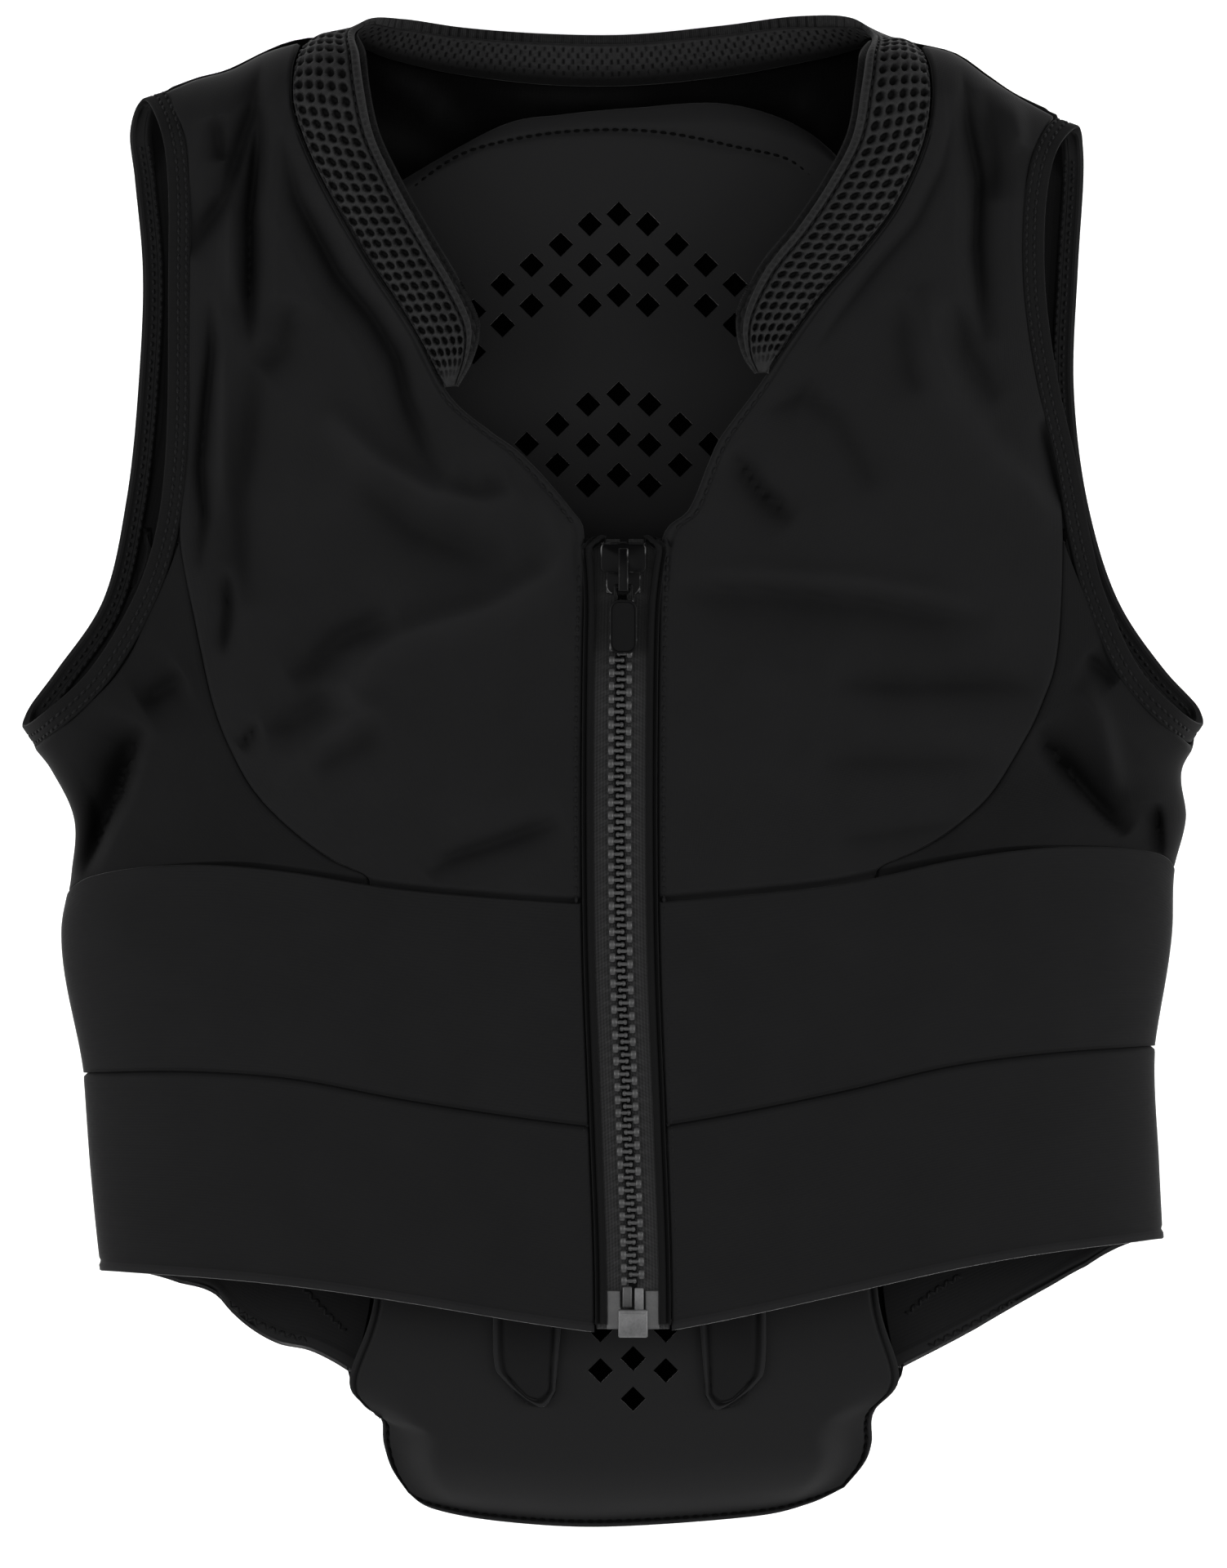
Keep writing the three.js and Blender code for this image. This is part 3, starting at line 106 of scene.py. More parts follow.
# Creases of the front: points, width to the left and to the right of the way they run, rise
CREASES = [
    ([(-87.3, 178), (-90, 164.5), (-93.1, 155), (-96.5, 142.7), (-102, 135), (-106, 128)], 3.0, 3.4, -2.6),
    ([(-88, 166), (-89, 150), (-90.4, 138), (-90.4, 122), (-90, 106)], 2.2, 2.6, -3.2),
    ([(-95, 150), (-95, 132), (-94.5, 116)], 2.4, 2.4, 1.0),
    ([(-82.5, 160), (-78.8, 143), (-68.6, 123.5), (-60, 113), (-54, 103), (-51.4, 92.7), (-45, 76),
      (-41.2, 73)], 2.6, 2.6, -2.4),
    ([(-41.2, 73), (-34, 70), (-26, 72)], 3.0, 3.0, -1.4),
    ([(-76, 150), (-60, 122), (-47, 104)], 3.6, 3.6, 0.8),
    ([(-79, 117), (-82, 106), (-88, 100)], 4.0, 4.0, -1.6),
    ([(-99, 163), (-97.5, 152)], 2.6, 2.6, -1.7),
    ([(-100, 118.4), (-99.9, 103.5), (-101.4, 89.4), (-102.6, 76), (-101.6, 63.3),
      (-103, 50)], 1.9, 1.9, -2.2),
    ([(-96.8, 108), (-97, 88), (-97.6, 64)], 2.2, 2.2, 0.9),
    ([(-88.2, 107.5), (-90.2, 89.3), (-92.8, 69.8), (-91.5, 50.3), (-90, 40)], 4.6, 4.6, -2.0),
    ([(-96.4, 49.8), (-95.6, 40.2), (-97, 29.4)], 1.8, 1.8, -1.8),
    ([(-88.4, 11.2), (-92.9, 5.7)], 1.7, 1.7, -1.3),
    ([(-106.9, 23.3), (-117.8, 16.5)], 4.0, 4.0, -1.8),
    ([(-72, 91), (-57.7, 76.3), (-44.7, 69), (-31.7, 67.5), (-22, 70)], 4.0, 4.0, 1.8),
    ([(-64, 73), (-50, 60.7), (-34.3, 54), (-25, 56)], 5.0, 5.0, -1.6),
    ([(-18.5, 72), (-13.5, 62), (-12.5, 56), (-15.7, 49.1), (-31, 40.2), (-51.3, 33.9), (-61.4, 28.8),
      (-65.3, 21.2), (-62.7, 14.9), (-69.1, 9.8), (-79.2, 2.1), (-83.7, -4.2)], 3.8, 3.8, 1.9),
    ([(-53.8, 38.5), (-69.1, 32), (-74, 26.8), (-81, 23.5)], 4.2, 4.2, -2.0),
    ([(-69.1, 18.7), (-80.5, 12.3), (-87, 11)], 4.0, 4.0, -1.4),
    ([(-57, 11), (-63, 7.5), (-75.4, 1.5)], 3.4, 3.4, -1.2),
    ([(-46.2, -26), (-41.1, -22), (-25.9, -16.9), (-11.9, -11.8)], 3.0, 3.0, -1.7),
    ([(-116.5, 11), (-119.6, 5.1), (-122.7, -5.1), (-128, -15.9), (-132.7, -27.3)], 1.3, 7.0, -5.0),
    ([(87.4, 176), (88.7, 160.5), (91.3, 147.3), (90.7, 130.2), (92, 117.1), (93.3, 106.6)], 3.2, 1.8, -2.6),
    ([(93, 170), (95, 154), (95, 142)], 4.0, 4.0, -1.8),
    ([(100.5, 168), (101.9, 153.9)], 2.6, 2.6, 1.4),
    ([(85.5, 165), (82.1, 150), (75.6, 136.8), (66.4, 126.3), (57.1, 114.4), (50.6, 105.2)], 1.6, 1.6, -0.8),
    ([(76.9, 121), (79.5, 106.6), (84.8, 94.7), (92.7, 82.9), (103.2, 72.4), (112.4, 61.8)], 3.4, 4.4, 1.9),
    ([(71.6, 118.4), (74.2, 101.3), (77, 94)], 3.6, 3.6, -1.2),
    ([(84.8, 117.1), (88, 104), (96, 92)], 3.4, 3.4, -1.3),
    ([(106.9, 88), (111, 71.8), (113.3, 63.9)], 2.0, 2.0, -1.4),
    ([(37.4, 89.4), (47.9, 94.7), (55.8, 88.1), (62.4, 76.3), (65, 69.7)], 3.4, 3.4, -1.3),
    ([(29.5, 79.5), (37.4, 69), (45.3, 62.5)], 2.8, 2.8, -2.2),
    ([(20, 49), (60, 47.5), (92, 41.5)], 3.0, 3.0, 0.6),
    ([(13, 46), (36, 45.2), (67.3, 42), (95, 37)], 2.0, 7.0, -1.6),
    ([(52.9, 22.8), (74.5, 21.7), (94.6, 22.6), (107, 21)], 4.2, 4.2, -1.4),
    ([(50, 3.2), (94.6, 3.2)], 5.0, 5.0, -0.9),
    ([(54.5, -16.8), (88.4, -12.2)], 4.0, 4.0, -0.7),
    ([(118.2, 28.4), (125.5, 21.8)], 2.6, 2.6, -1.6),
    ([(105.3, 9.8), (112.4, 0.8), (123.9, -12), (128.6, -16.1)], 6.0, 1.3, -3.2),
    ([(117, 22), (122.2, 12), (126.5, -6)], 2.6, 2.6, 1.6),
    ([(135.9, -8), (137.1, -22.7)], 1.3, 4.5, -2.2),
]

# Edges of the waist bands: turn round the body, top, split and hem
BAND_LINES = {
    "left": [
        (0, -33.3, -88.6, -140), (0.2, -29.5, -82, -133), (0.35, -25.3, -77, -129.2),
        (0.5, -23.6, -75.2, -127), (0.8, -26.5, -75.3, -125.2), (1, -31, -75.5, -125),
        (1.3, -32.4, -75.8, -125.2), (1.5, -33, -76, -128.2), (1.6, -32.8, -76.3, -131.3),
        (1.64, -32.6, -76.5, -135.4), (1.7, -32.3, -76.8, -139.8), (1.78, -31.8, -77.1, -143.4),
        (1.86, -31.2, -77.4, -145), (1.92, -30.7, -77.7, -147.4), (2, -30, -78, -151.5),
    ],
    "right": [
        (0, -33, -88.4, -139.6), (0.2, -28.3, -80, -130.3), (0.35, -22.4, -74, -124.5),
        (0.5, -19.4, -71, -120.8), (0.8, -20.8, -69, -117.5), (1, -25, -68.8, -117),
        (1.3, -26.2, -69.4, -118.2), (1.5, -27, -70, -124), (1.6, -27.4, -71.4, -129.2),
        (1.75, -28, -74, -137.2), (1.87, -28, -76, -143.8), (2, -28, -78, -150.5),
    ],
}
# Bands: name, finish, upper edge, lower edge
BANDS = (("upper", "band", "top", "split"), ("lower", "hemmed", "split", "hem"))
# Share of a band's length at which a turn round the body is reached
BAND_TURNS = [(0.0, 0.0), (0.62, 1.0), (0.76, 1.5), (1.0, 2.0)]

# Seam on the back: y, distance from the middle to the left and to the right
BACK_SEAM = [
    (-152, 66.5, 72.8), (-132, 62, 69.5), (-100, 62, 68), (-60, 64, 67), (-29, 67, 69), (-18, 77, 79),
    (4, 94, 95), (36, 107.5, 106.5), (60, 116.6, 113.8),
]
BACK_SEAM_END = 57
BAND_REACH = 2.4
BAND_EDGE = 0.45

# Middle line of the zip: y, x
ZIP_LINE = [(-142, 5.2), (-122, 5), (-89, 3.8), (-42, 2.1), (29, 2.1), (60, 3.1)]

# Outlines of the chest panels
NECK = {
    "left": [
        (-7, 57), (-10.2, 64.9), (-22.4, 78.2), (-30.6, 84.3), (-40.6, 93), (-49.8, 109.5),
        (-59.8, 124.6), (-69.6, 140.8), (-77, 155.8), (-80.3, 167), (-80.2, 176), (-78.4, 182.2),
    ],
    "right": [
        (12.6, 57), (19.4, 64.9), (24.1, 76), (27.5, 83.2), (37.2, 96.2), (43.4, 105.6), (52.2, 117.4),
        (62, 128.4), (71, 140.4), (78, 155.6), (80.2, 167), (79.8, 176), (77.6, 181.6),
    ],
}
# Share of the inner edge stitched along the neck, the panel's width there, the hem's seam from the edge
NECK_OPEN = (0.40, 0.60)
NECK_SPAN = 95
NECK_HEM = 2.1
CHEST_SEAM = {
    "left": [
        (-61, -26.6), (-70, -22.2), (-79.8, -15), (-88.8, -5.9), (-94.7, 4.1), (-99.6, 16.9),
        (-104, 36.5), (-108, 58),
    ],
    "right": [
        (66.5, -24.4), (75.5, -20.2), (83.3, -15.6), (93.3, -7.1), (101.2, 4.7), (107.1, 16.5),
        (111.2, 30.4), (112.6, 58),
    ],
}
ARMHOLE_SEAM = {
    "left": [(-105.6, 80), (-104.9, 120), (-105.1, 148), (-106.8, 160), (-110.2, 171)],
    "right": [(110, 77.5), (105.1, 97.8), (102, 121.5), (102.4, 143), (105.2, 156), (108.2, 165.4)],
}
ZIP_EDGE_HEIGHTS = (0, 30)
SHOULDER_LAP = (1.4, -1.6)

# Upper edge of the side panels, as distances from the middle
UNDERARM_FRONT = {
    "left": [(113.7, 41.1), (125.6, 20.3), (137.6, 8.8)],
    "right": [(118, 41.3), (127.6, 20.7), (138.6, 9.2)],
}
UNDERARM_BACK = {
    "left": [(142, 9.6), (134, 20.4), (122.2, 38.2)],
    "right": [(142.2, 10), (133.2, 20.4), (121.2, 38.2)],
}
UNDERARM_TIP = 4.4

# Collar: seam x and y, how far the seam has come from back to front, rim x and y, rise of the rim
COLLAR_ROWS = [
    (-41.4, 95.4, 1, -38.9, 95.6, 0.2), (-43.6, 99.4, 1, -35.9, 103.4, 1),
    (-46.6, 105, 1, -35.3, 110.6, 2), (-51.6, 113.6, 1, -39.4, 120.2, 2.5),
    (-59.2, 125.1, 1, -46.3, 132, 3), (-69, 141, 1, -54.5, 146.8, 3),
    (-76.3, 155.9, 1, -59.8, 158.5, 3.5), (-79.6, 167, 1, -62.2, 170, 4.5),
    (-79.2, 176, 0.95, -63.4, 178.8, 6), (-75.4, 182, 0.75, -64.4, 184.4, 10),
    (-67.5, 182.6, 0.5, -60.6, 187.6, 9), (-55, 178.8, 0.12, -52, 187.8, 7),
    (-40, 175.2, 0, -37.5, 185.8, 6.4), (-16.3, 172, 0, -16.3, 184.2, 6), (5, 171.8, 0, 4, 184, 6),
    (30, 174.4, 0, 27, 186.2, 6.2), (50, 178.6, 0.08, 47, 188.6, 7), (65, 182.6, 0.4, 59.6, 188, 9),
    (74, 181.8, 0.75, 64.6, 184.2, 10), (78.8, 176, 0.95, 63.6, 178.6, 6), (79.4, 167, 1, 62.3, 170, 4.5),
    (77.3, 155.7, 1, 60, 157.8, 3.5), (70.4, 140.8, 1, 54.4, 147, 3), (61.4, 129, 1, 46.6, 135.2, 3),
    (51.6, 118, 1, 37.8, 123.9, 2.5), (43.8, 107.6, 1, 32.9, 112, 2), (40.6, 102.8, 1, 33.4, 104, 1),
    (38.4, 99, 1, 36, 98.8, 0.2),
]
COLLAR_FLOOR = 0.6
COLLAR_GROOVE = 0.865
COLLAR_SEAM = 0.03
COLLAR_HOLES = (0.03, 0.81)
COLLAR_COLUMNS = 5
COLLAR_BACK = (0.285, 0.315)
COLLAR_CORNER = (0.305, 0.028, 0.65)
COLLAR_SLANT = (0.45, 0.16, 0.30)

# Armhole bindings: free edge x and y, how far it has come from back to front, step to the seam
ARMHOLE_ROWS = {
    "left": [
        (-117.4, 167.6, 1, 5.6, 1.8), (-113, 160, 1, 5.5, 0.6), (-111.2, 148, 1, 5.5, 0),
        (-111, 120, 1, 5.5, 0), (-111.6, 80, 1, 5.5, -0.2), (-114, 60, 1, 5.3, -1.4),
        (-119, 44.5, 1, 4.8, -2.8), (-130.6, 25.1, 1, 4, -4), (-142, 14.5, 1, 3.4, -4.6),
        (-147.6, 11, 0.6, 3.2, -4.8), (-146.2, 15, 0.06, 3.6, -4.4), (-138.8, 25.1, 0, 4.1, -3.9),
        (-127.5, 42, 0, 4.8, -2.9), (-121.4, 68, 0, 5.4, -1), (-118.2, 100, 0, 5.5, 0),
        (-117.4, 125, 0, 5.5, 0), (-119.4, 148, 0, 5.5, 0), (-120.4, 160, 0.3, 5.5, 0.8),
    ],
    "right": [
        (116.6, 160.8, 1, -5.6, 2), (111.4, 155, 1, -5.5, 0.6), (108.6, 143, 1, -5.5, 0),
        (108.2, 121, 1, -5.5, 0), (111.4, 97, 1, -5.5, 0.4), (116.2, 76, 1, -5.4, 0),
        (119.6, 58, 1, -5.2, -1.6), (123, 44.5, 1, -4.8, -2.8), (132, 25.1, 1, -4, -4),
        (142.4, 14.5, 1, -3.4, -4.6), (147.8, 11.6, 0.6, -3.2, -4.8), (146.6, 15.6, 0.06, -3.6, -4.4),
        (138, 25.1, 0, -4.1, -3.9), (126.6, 42, 0, -4.8, -2.9), (119, 66, 0, -5.4, -1),
        (115.4, 95, 0, -5.5, 0), (116.4, 125, 0, -5.5, 0), (117.8, 148, 0, -5.5, 0),
        (117.6, 156, 0.3, -5.5, 0.8),
    ],
}
BINDING_FLOOR = 0.2
BINDING_SEAMS = (0.5, 0.86)

# Back plate: outline from the tail up each side, its two ends, heights
PLATE = {
    "left": [
        (-51, -180.6), (-55.1, -174.5), (-57.2, -167.6), (-57.8, -162), (-62.4, -158.4), (-65.6, -151.5),
        (-59.5, -132), (-59.5, -100), (-61, -60), (-64, -29), (-76, 4), (-80, 50), (-78, 100), (-70, 128),
        (-58, 144),
    ],
    "right": [
        (58, -179.2), (63, -173.1), (64.8, -167.8), (65.3, -160.4), (71.6, -151.5), (66.5, -132),
        (65, -100), (64.5, -60), (65.5, -29), (78, 4), (82, 50), (80, 100), (73, 130), (62, 147),
    ],
}
PLATE_TAIL = [
    (-51, -180.6), (-44.9, -184.5), (-28.2, -187.6), (-2, -189), (34.5, -186.5), (49, -183.3),
    (58, -179.2),
]
PLATE_HEAD = [(-58, 144), (-29.2, 160.4), (-12.7, 163.7), (5.5, 165.4), (28.4, 166.4), (48, 160), (62, 147)]
PLATE_BOTTOM = 1.8
PLATE_TOP = 16.0
PLATE_FLANGE_TOP = 4.0
PLATE_FLANGE = 2.4
PLATE_ROLL = 13.0
PLATE_END_ROLL = 17.0
PLATE_HEAD_ROLL = 7.0
PLATE_HEAD_SHARE = 0.75
PLATE_TAIL_TOP = -172.0
PLATE_TAIL_RAMP = 20.0
PLATE_DOME = 0.2
PLATE_ARC = [
    (-51.8, 143.7), (-41.8, 151.4), (-32.7, 155.5), (-16.3, 158.8), (0, 159.8), (14.7, 158.8),
    (31, 155.5), (43.9, 152.4), (52, 146),
]

# Diamond holes: middle x, step between columns, then column, height of its uppermost hole, count
DIAMONDS = [
    (1.6, 7.25, [(0, 138.8, 3), (1, 136.3, 3), (2, 131.2, 2), (3, 126.1, 2), (4, 121.2, 2), (5, 114.5, 2)]),
    (1.6, 7.65, [(0, 93.9, 3), (1, 91.3, 3), (2, 86.3, 2), (3, 81.4, 1)]),
    (5.2, 8.16, [(0, -146.9, 2), (1, -139.8, 2)]),
]
DIAMOND_RADIUS = 3.16
DIAMOND_PITCH = 10.1

# Cloth of the back: y and how far it runs on past its side seams, its edges above them and along the neck
SHELL_SEAM = [
    (-150, 0.1), (-132, 1.5), (-100, 3), (-60, 3), (-42, 3), (-29, 3), (-18, 3), (4, 3), (36, 7),
    (48, 9.8), (60, 5),
]
SHELL_TAIL_POINTS = 4
SHELL_LAP = 3.0
SHELL_ARM_REACH = 2.5
SHELL_NECK_REACH = 3.0
SHELL_TOP = {
    "left": [(-113.6, 82), (-112.4, 100), (-111.6, 125), (-113.4, 148), (-114.4, 160), (-110.8, 169.6)],
    "right": [(110.8, 78), (109.2, 95), (110.6, 125), (112, 148), (111.6, 156), (108.8, 164.2)],
}
SHELL_FOLD = {"left": (-104, -96, -86, -79), "right": (77, 86, 94, 101)}
SHELL_NECK = [
    (-70, 180.2), (-56, 176.6), (-40, 173.6), (-16, 170.6), (5, 170.4), (30, 172.8), (51, 176.6),
    (66, 180.2),
]
# Creases of the back's inside, and the height above which they are felt
YOKE_CREASES = [
    ([(-66, 160), (-56, 158), (-40, 150)], 4.0, 5.0, 2.4),
    ([(-60, 176), (-48, 170), (-36, 158)], 3.0, 3.0, 2.0),
    ([(-70, 150), (-58, 140)], 4.0, 4.0, 2.0),
    ([(-30, 169), (10, 168)], 2.5, 2.5, 1.0),
    ([(44, 172), (58, 152)], 3.0, 3.0, 1.4),
]
YOKE_FOOT = 140
# How far painted shade darkens the inside of the back
INSIDE_SHADE = 0.48

# Zigzag seams on the inside of the bands' rear ends
WING_SEAMS = {
    "left": [
        [(-96, -133), (-90, -137.4), (-82, -141), (-76, -142.4)], [(-77.5, -129), (-72, -135), (-66, -141)],
    ],
    "right": [[(73.5, -136), (80, -130.5), (87.5, -126)], [(79, -144), (90, -138.4), (101, -132.2)]],
}

# Tongues on the tail: outer x, inner x, end of the straight outer edge, tip, foot of the inner edge
FLAPS = {
    "left": (-29.6, -12.2, -146.5, (-17.2, -159.6), (-14.3, -155)),
    "right": (38.2, 21.4, -147.5, (26, -160.2), (23.4, -156)),
}
FLAP_TOP = -104.0
FLAP_SINK = 0.35
FLAP_WALL = 0.75

# Grids of the sheets: steps across and along, radius of the rolled edges, how steps crowd towards the edges
GRIDS = {
    "back": (80, 130, 0.6, 0.85), "plate": (100, 230, 0.2, 0.8), "tongue": (36, 80, 0.7, 0.85),
    "chest": (120, 200, 1.2, 0.6), "side": (160, 80, 1.2, 0.5), "band": (180, 44, BAND_EDGE, 0.8),
    "collar": (1080, 42, 0.7, 0.0), "binding": (340, 16, 0.6, 0.5), "tape": (18, 160, 0.2, 0.7),
    "welt": (20, 200, 0.6, 0.7), "film": (8, 20, 0.15, 0.7),
}

# Zip: distances from its middle line, heights above the front, and the ends
TEETH_PITCH = 3.22
TEETH_START = -128.0
TEETH_COUNT = 53
TOOTH_PHASE = 0.25
TAPE_ACROSS = (1.1, 9.1)
TAPE_TOP = -1.4
TAPE_ENDS = (-139.2, 57.5)
WELT_ACROSS = (6.5, 9.4)
WELT_TOP = 0.7
WELT_START = -138.2
WELT_END = 58.8
WELT_BEND = 54.6
WELT_FLARE = 1.3
WELT_TURN = 3.4
FRONT_EDGE = 9.6
FILM_ACROSS = (3.0, 6.6)
FILM_TOP = -0.7
FILM_END = -129.6
FOOT_Y = -137.8
SLIDER_Y = 50.0
PULL_TILT = math.radians(6)

# Blocks of the zip's parts: size, place, bevel, segments of the bevel; paired ones stand on the right
TOOTH = [
    ((1.5, 2.3, 1.7), (2.2, 0, -0.25), 0.28, 1), ((1.9, 0.95, 1.3), (0.75, 0, -0.25), 0.2, 1),
    ((1.05, 1.3, 1.45), (-0.45, 0, -0.25), 0.3, 1),
]
SLIDER_PAIRS = [
    ((0.9, 5.6, 2.5), (5.1, 2.4, 0.2), 0.25, 2), ((0.9, 5.6, 2.5), (3.8, -3.2, 0.2), 0.25, 2),
    ((4.0, 0.45, 0.55), (3.4, 6.2, 2.15), 0.18, 2), ((1.9, 0.4, 0.5), (2.9, -1.1, 2.15), 0.15, 2),
]
# Nose, divider, the two legs of the bridge and its roof
SLIDER_BLOCKS = [
    ((1.7, 0.5, 0.9), (0, 6.5, 2.2), 0.2, 2), ((1.5, 3.0, 4.7), (0, 4.5, -0.75), 0.2, 2),
    ((2.5, 2.0, 3.1), (0, 4.0, 3.5), 0.35, 2), ((2.5, 0.6, 3.1), (0, -5.6, 3.5), 0.2, 2),
    ((2.5, 10.9, 0.8), (0, -0.45, 4.75), 0.36, 3),
]
PULL_ARMS = [((0.8, 4.0, 1.1), (2.0, -1.5, 0), 0.3, 2)]
FOOT_BOX = [
    ((7.3, 6.9, 2.5), (0, 0, 0.2), 0.4, 3), ((6.6, 0.7, 0.4), (0, 2.9, 1.4), 0.15, 2),
    ((2.3, 5.6, 1.7), (1.5, 6.1, -0.2), 0.35, 3),
]
FOOT_PIN = [((2.4, 5.4, 1.8), (-1.45, 6.6, -0.15), 0.4, 3)]
# Slabs of the slider: width, length, corner, thickness, place; then the bevel of all
SLIDER_SLABS = [
    (11.3, 7.6, 1.5, 1.2, (0, 2.7, 0.9)), (8.6, 7.6, 2.2, 1.2, (0, -2.7, 0.86)),
    (11.3, 13.0, 2.6, 1.0, (0, 0, -3.6)),
]
SLIDER_BEVEL = 0.3
# Pull: its slab, the slab's place, bevel, rim and recess; radius and length of its bar
PULL_SLAB = (6.9, 13.5, 2.5, 1.3)
PULL_PLACE = (0, -10.0, -0.7)
PULL_EDGE = (0.28, 0.55, 0.4)
PULL_BAR = (0.55, 4.2)

# Stitches of the collar (share of its width, shares of its length, lift), bindings, zip and plate flange
COLLAR_STITCHES = [
    (COLLAR_GROOVE, (0.01, 0.29), -0.5), (COLLAR_GROOVE, (0.71, 0.99), -0.5),
    (COLLAR_SEAM, (0.01, 0.28), -0.25), (COLLAR_SEAM, (0.72, 0.99), -0.25),
]
BINDING_STITCHES = {"outside": (0.0, 0.5), "inside": (0.57, 0.93)}
ZIP_STITCHES = (-136, 55)
ZIP_STITCHES_ASIDE = 10.9
FLANGE_TAIL = ((0.03, 0.97), 0.0042)
FLANGE_SIDES = ((0.006, 0.075), (0.013, 0.987))
FLANGE_THREAD = {"pitch": 2.4, "lift": -0.3}
PLATE_THREAD = {"pitch": 2.4, "lift": -0.35}
ZIGZAG_THREAD = {"pitch": 1.3, "length": 1.5, "sway": 1.3, "lift": 0.1}

# Stage: the floor, the world's light, lamps (name, place, size, power), the picture and the camera's sensor
FLOOR_HALF = 6.0
WORLD_LIGHT = 0.2
LAMPS = [
    ("softbox_left", (-0.95, 0.1, 2.2), (1.1, 2.2), 22),
    ("softbox_right", (0.95, 0.0, 2.1), (1.1, 2.2), 17),
    ("softbox_head", (0.0, 1.8, 1.6), (2.4, 1.2), 7),
    ("softbox_foot", (0.0, -1.8, 0.75), (2.4, 0.9), 27),
    ("strip_left", (-1.6, 0.0, 0.45), (0.6, 2.4), 34),
    ("strip_right", (1.6, 0.0, 0.45), (0.6, 2.4), 38),
]
PICTURE = (1503, 1920)
PICTURE_SCALE = 4.9
PICTURE_MIDDLE = (0.3, -3.5)
SENSOR = 36.0


def measure(name, description, value):
    return bpy.props.FloatProperty(name=name, description=description, default=value, unit="LENGTH")


class VestSizes(bpy.types.PropertyGroup):
    """Sizes of the vest's materials and trim"""

    cloth: measure("Cloth", "Thickness of the cloth panels", 0.0016)
    back_cloth: measure("Back cloth", "Thickness of the cloth of the back", 0.0015)
    band: measure("Bands", "Thickness of the padded waist bands", 0.0026)
    collar: measure("Collar", "Thickness of the holed collar mesh", 0.004)
    binding: measure("Binding", "Thickness of the armhole bindings", 0.002)
    welt: measure("Welts", "Thickness of the folded edges beside the zip", 0.0018)
    tape: measure("Zip tape", "Thickness of the zip tape", 0.0007)
    film: measure("End film", "Thickness of the film on the tape ends", 0.0004)
    flap: measure("Tongues", "Thickness of the bound tongues", 0.0018)
    hole_pitch: measure("Hole rows", "Distance between rows of collar holes", 0.0032)
    slit_pitch: measure("Slits in a row", "Distance between slits behind the neck", 0.0024)
    slit_row: measure("Slit rows", "Height of a row of slits behind the neck", 0.0017)
    stitch: measure("Stitch", "Distance from one stitch to the next", 0.0028)
    thread: measure("Thread", "Thickness of the sewing thread", 0.00042)
    camera_distance: measure("Camera height", "Height of the camera above the floor", 12.0)


def colour(name, description, value):
    return bpy.props.FloatVectorProperty(
        name=name, description=description, default=value, subtype="COLOR", min=0.0, max=1.0)


class VestColours(bpy.types.PropertyGroup):
    """Colours of the vest's materials"""

    lining: colour("Back cloth", "Cloth of the back, whose inside is seen", (0.0046, 0.0046, 0.0047))
    cloth: colour("Cloth", "Stretch cloth of the front and sides", (0.0058, 0.0058, 0.006))
    band: colour("Bands", "Ribbed face of the waist bands", (0.0048, 0.0048, 0.005))
    foam: colour("Plate", "Skin of the foam back plate", (0.0054, 0.0054, 0.0056))
    mesh: colour("Collar mesh", "Yarn of the collar mesh", (0.0125, 0.0125, 0.0127))
    binding: colour("Binding", "Elastic of the bindings and welts", (0.0036, 0.0036, 0.0037))
    tongue: colour("Tongues", "Cloth of the tongues", (0.0046, 0.0046, 0.0048))
    tape: colour("Tape", "Woven zip tape", (0.0135, 0.0135, 0.0138))
    plastic: colour("Zip plastic", "Moulded teeth and pin", (0.0185, 0.0185, 0.0188))
    box: colour("Zip box", "Lighter plastic of the box", (0.058, 0.058, 0.059))
    film: colour("Film", "Stiff film on the tape ends", (0.0315, 0.0315, 0.032))
    paint: colour("Slider paint", "Lacquer of the slider and its pull", (0.0014, 0.0014, 0.0015))
    thread: colour("Thread", "Sewing thread", (0.0038, 0.0038, 0.004))
    # The plate's thread is far darker than the other thread: painted shade of the holes it is sunk in
    dark_thread: colour("Plate thread", "Thread sunk into the plate", (0.0008, 0.0008, 0.0008))
    floor: colour("Floor", "Paper under the vest", (0.93, 0.93, 0.93))


class Number:
    """A value on its way through a material; sums on it add Math nodes."""

    def __init__(self, finish, socket):
        self.finish = finish
        self.socket = socket

    def sum(self, operation, first, second=0.0):
        node = self.finish.node("ShaderNodeMath", {"operation": operation}, {0: first, 1: second})
        return Number(self.finish, node.outputs[0])

    def __add__(self, other):
        return self.sum("ADD", self, other)

    def __radd__(self, other):
        return self.sum("ADD", other, self)

    def __sub__(self, other):
        return self.sum("SUBTRACT", self, other)

    def __rsub__(self, other):
        return self.sum("SUBTRACT", other, self)

    def __mul__(self, other):
        return self.sum("MULTIPLY", self, other)

    def wave(self, length):
        """0 to 1 and back over each length."""
        return self.sum("SINE", self * (2 * math.pi / length)) * 0.5 + 0.5

    def least(self, other):
        return self.sum("MINIMUM", self, other)

    def most(self, other):
        return self.sum("MAXIMUM", self, other)


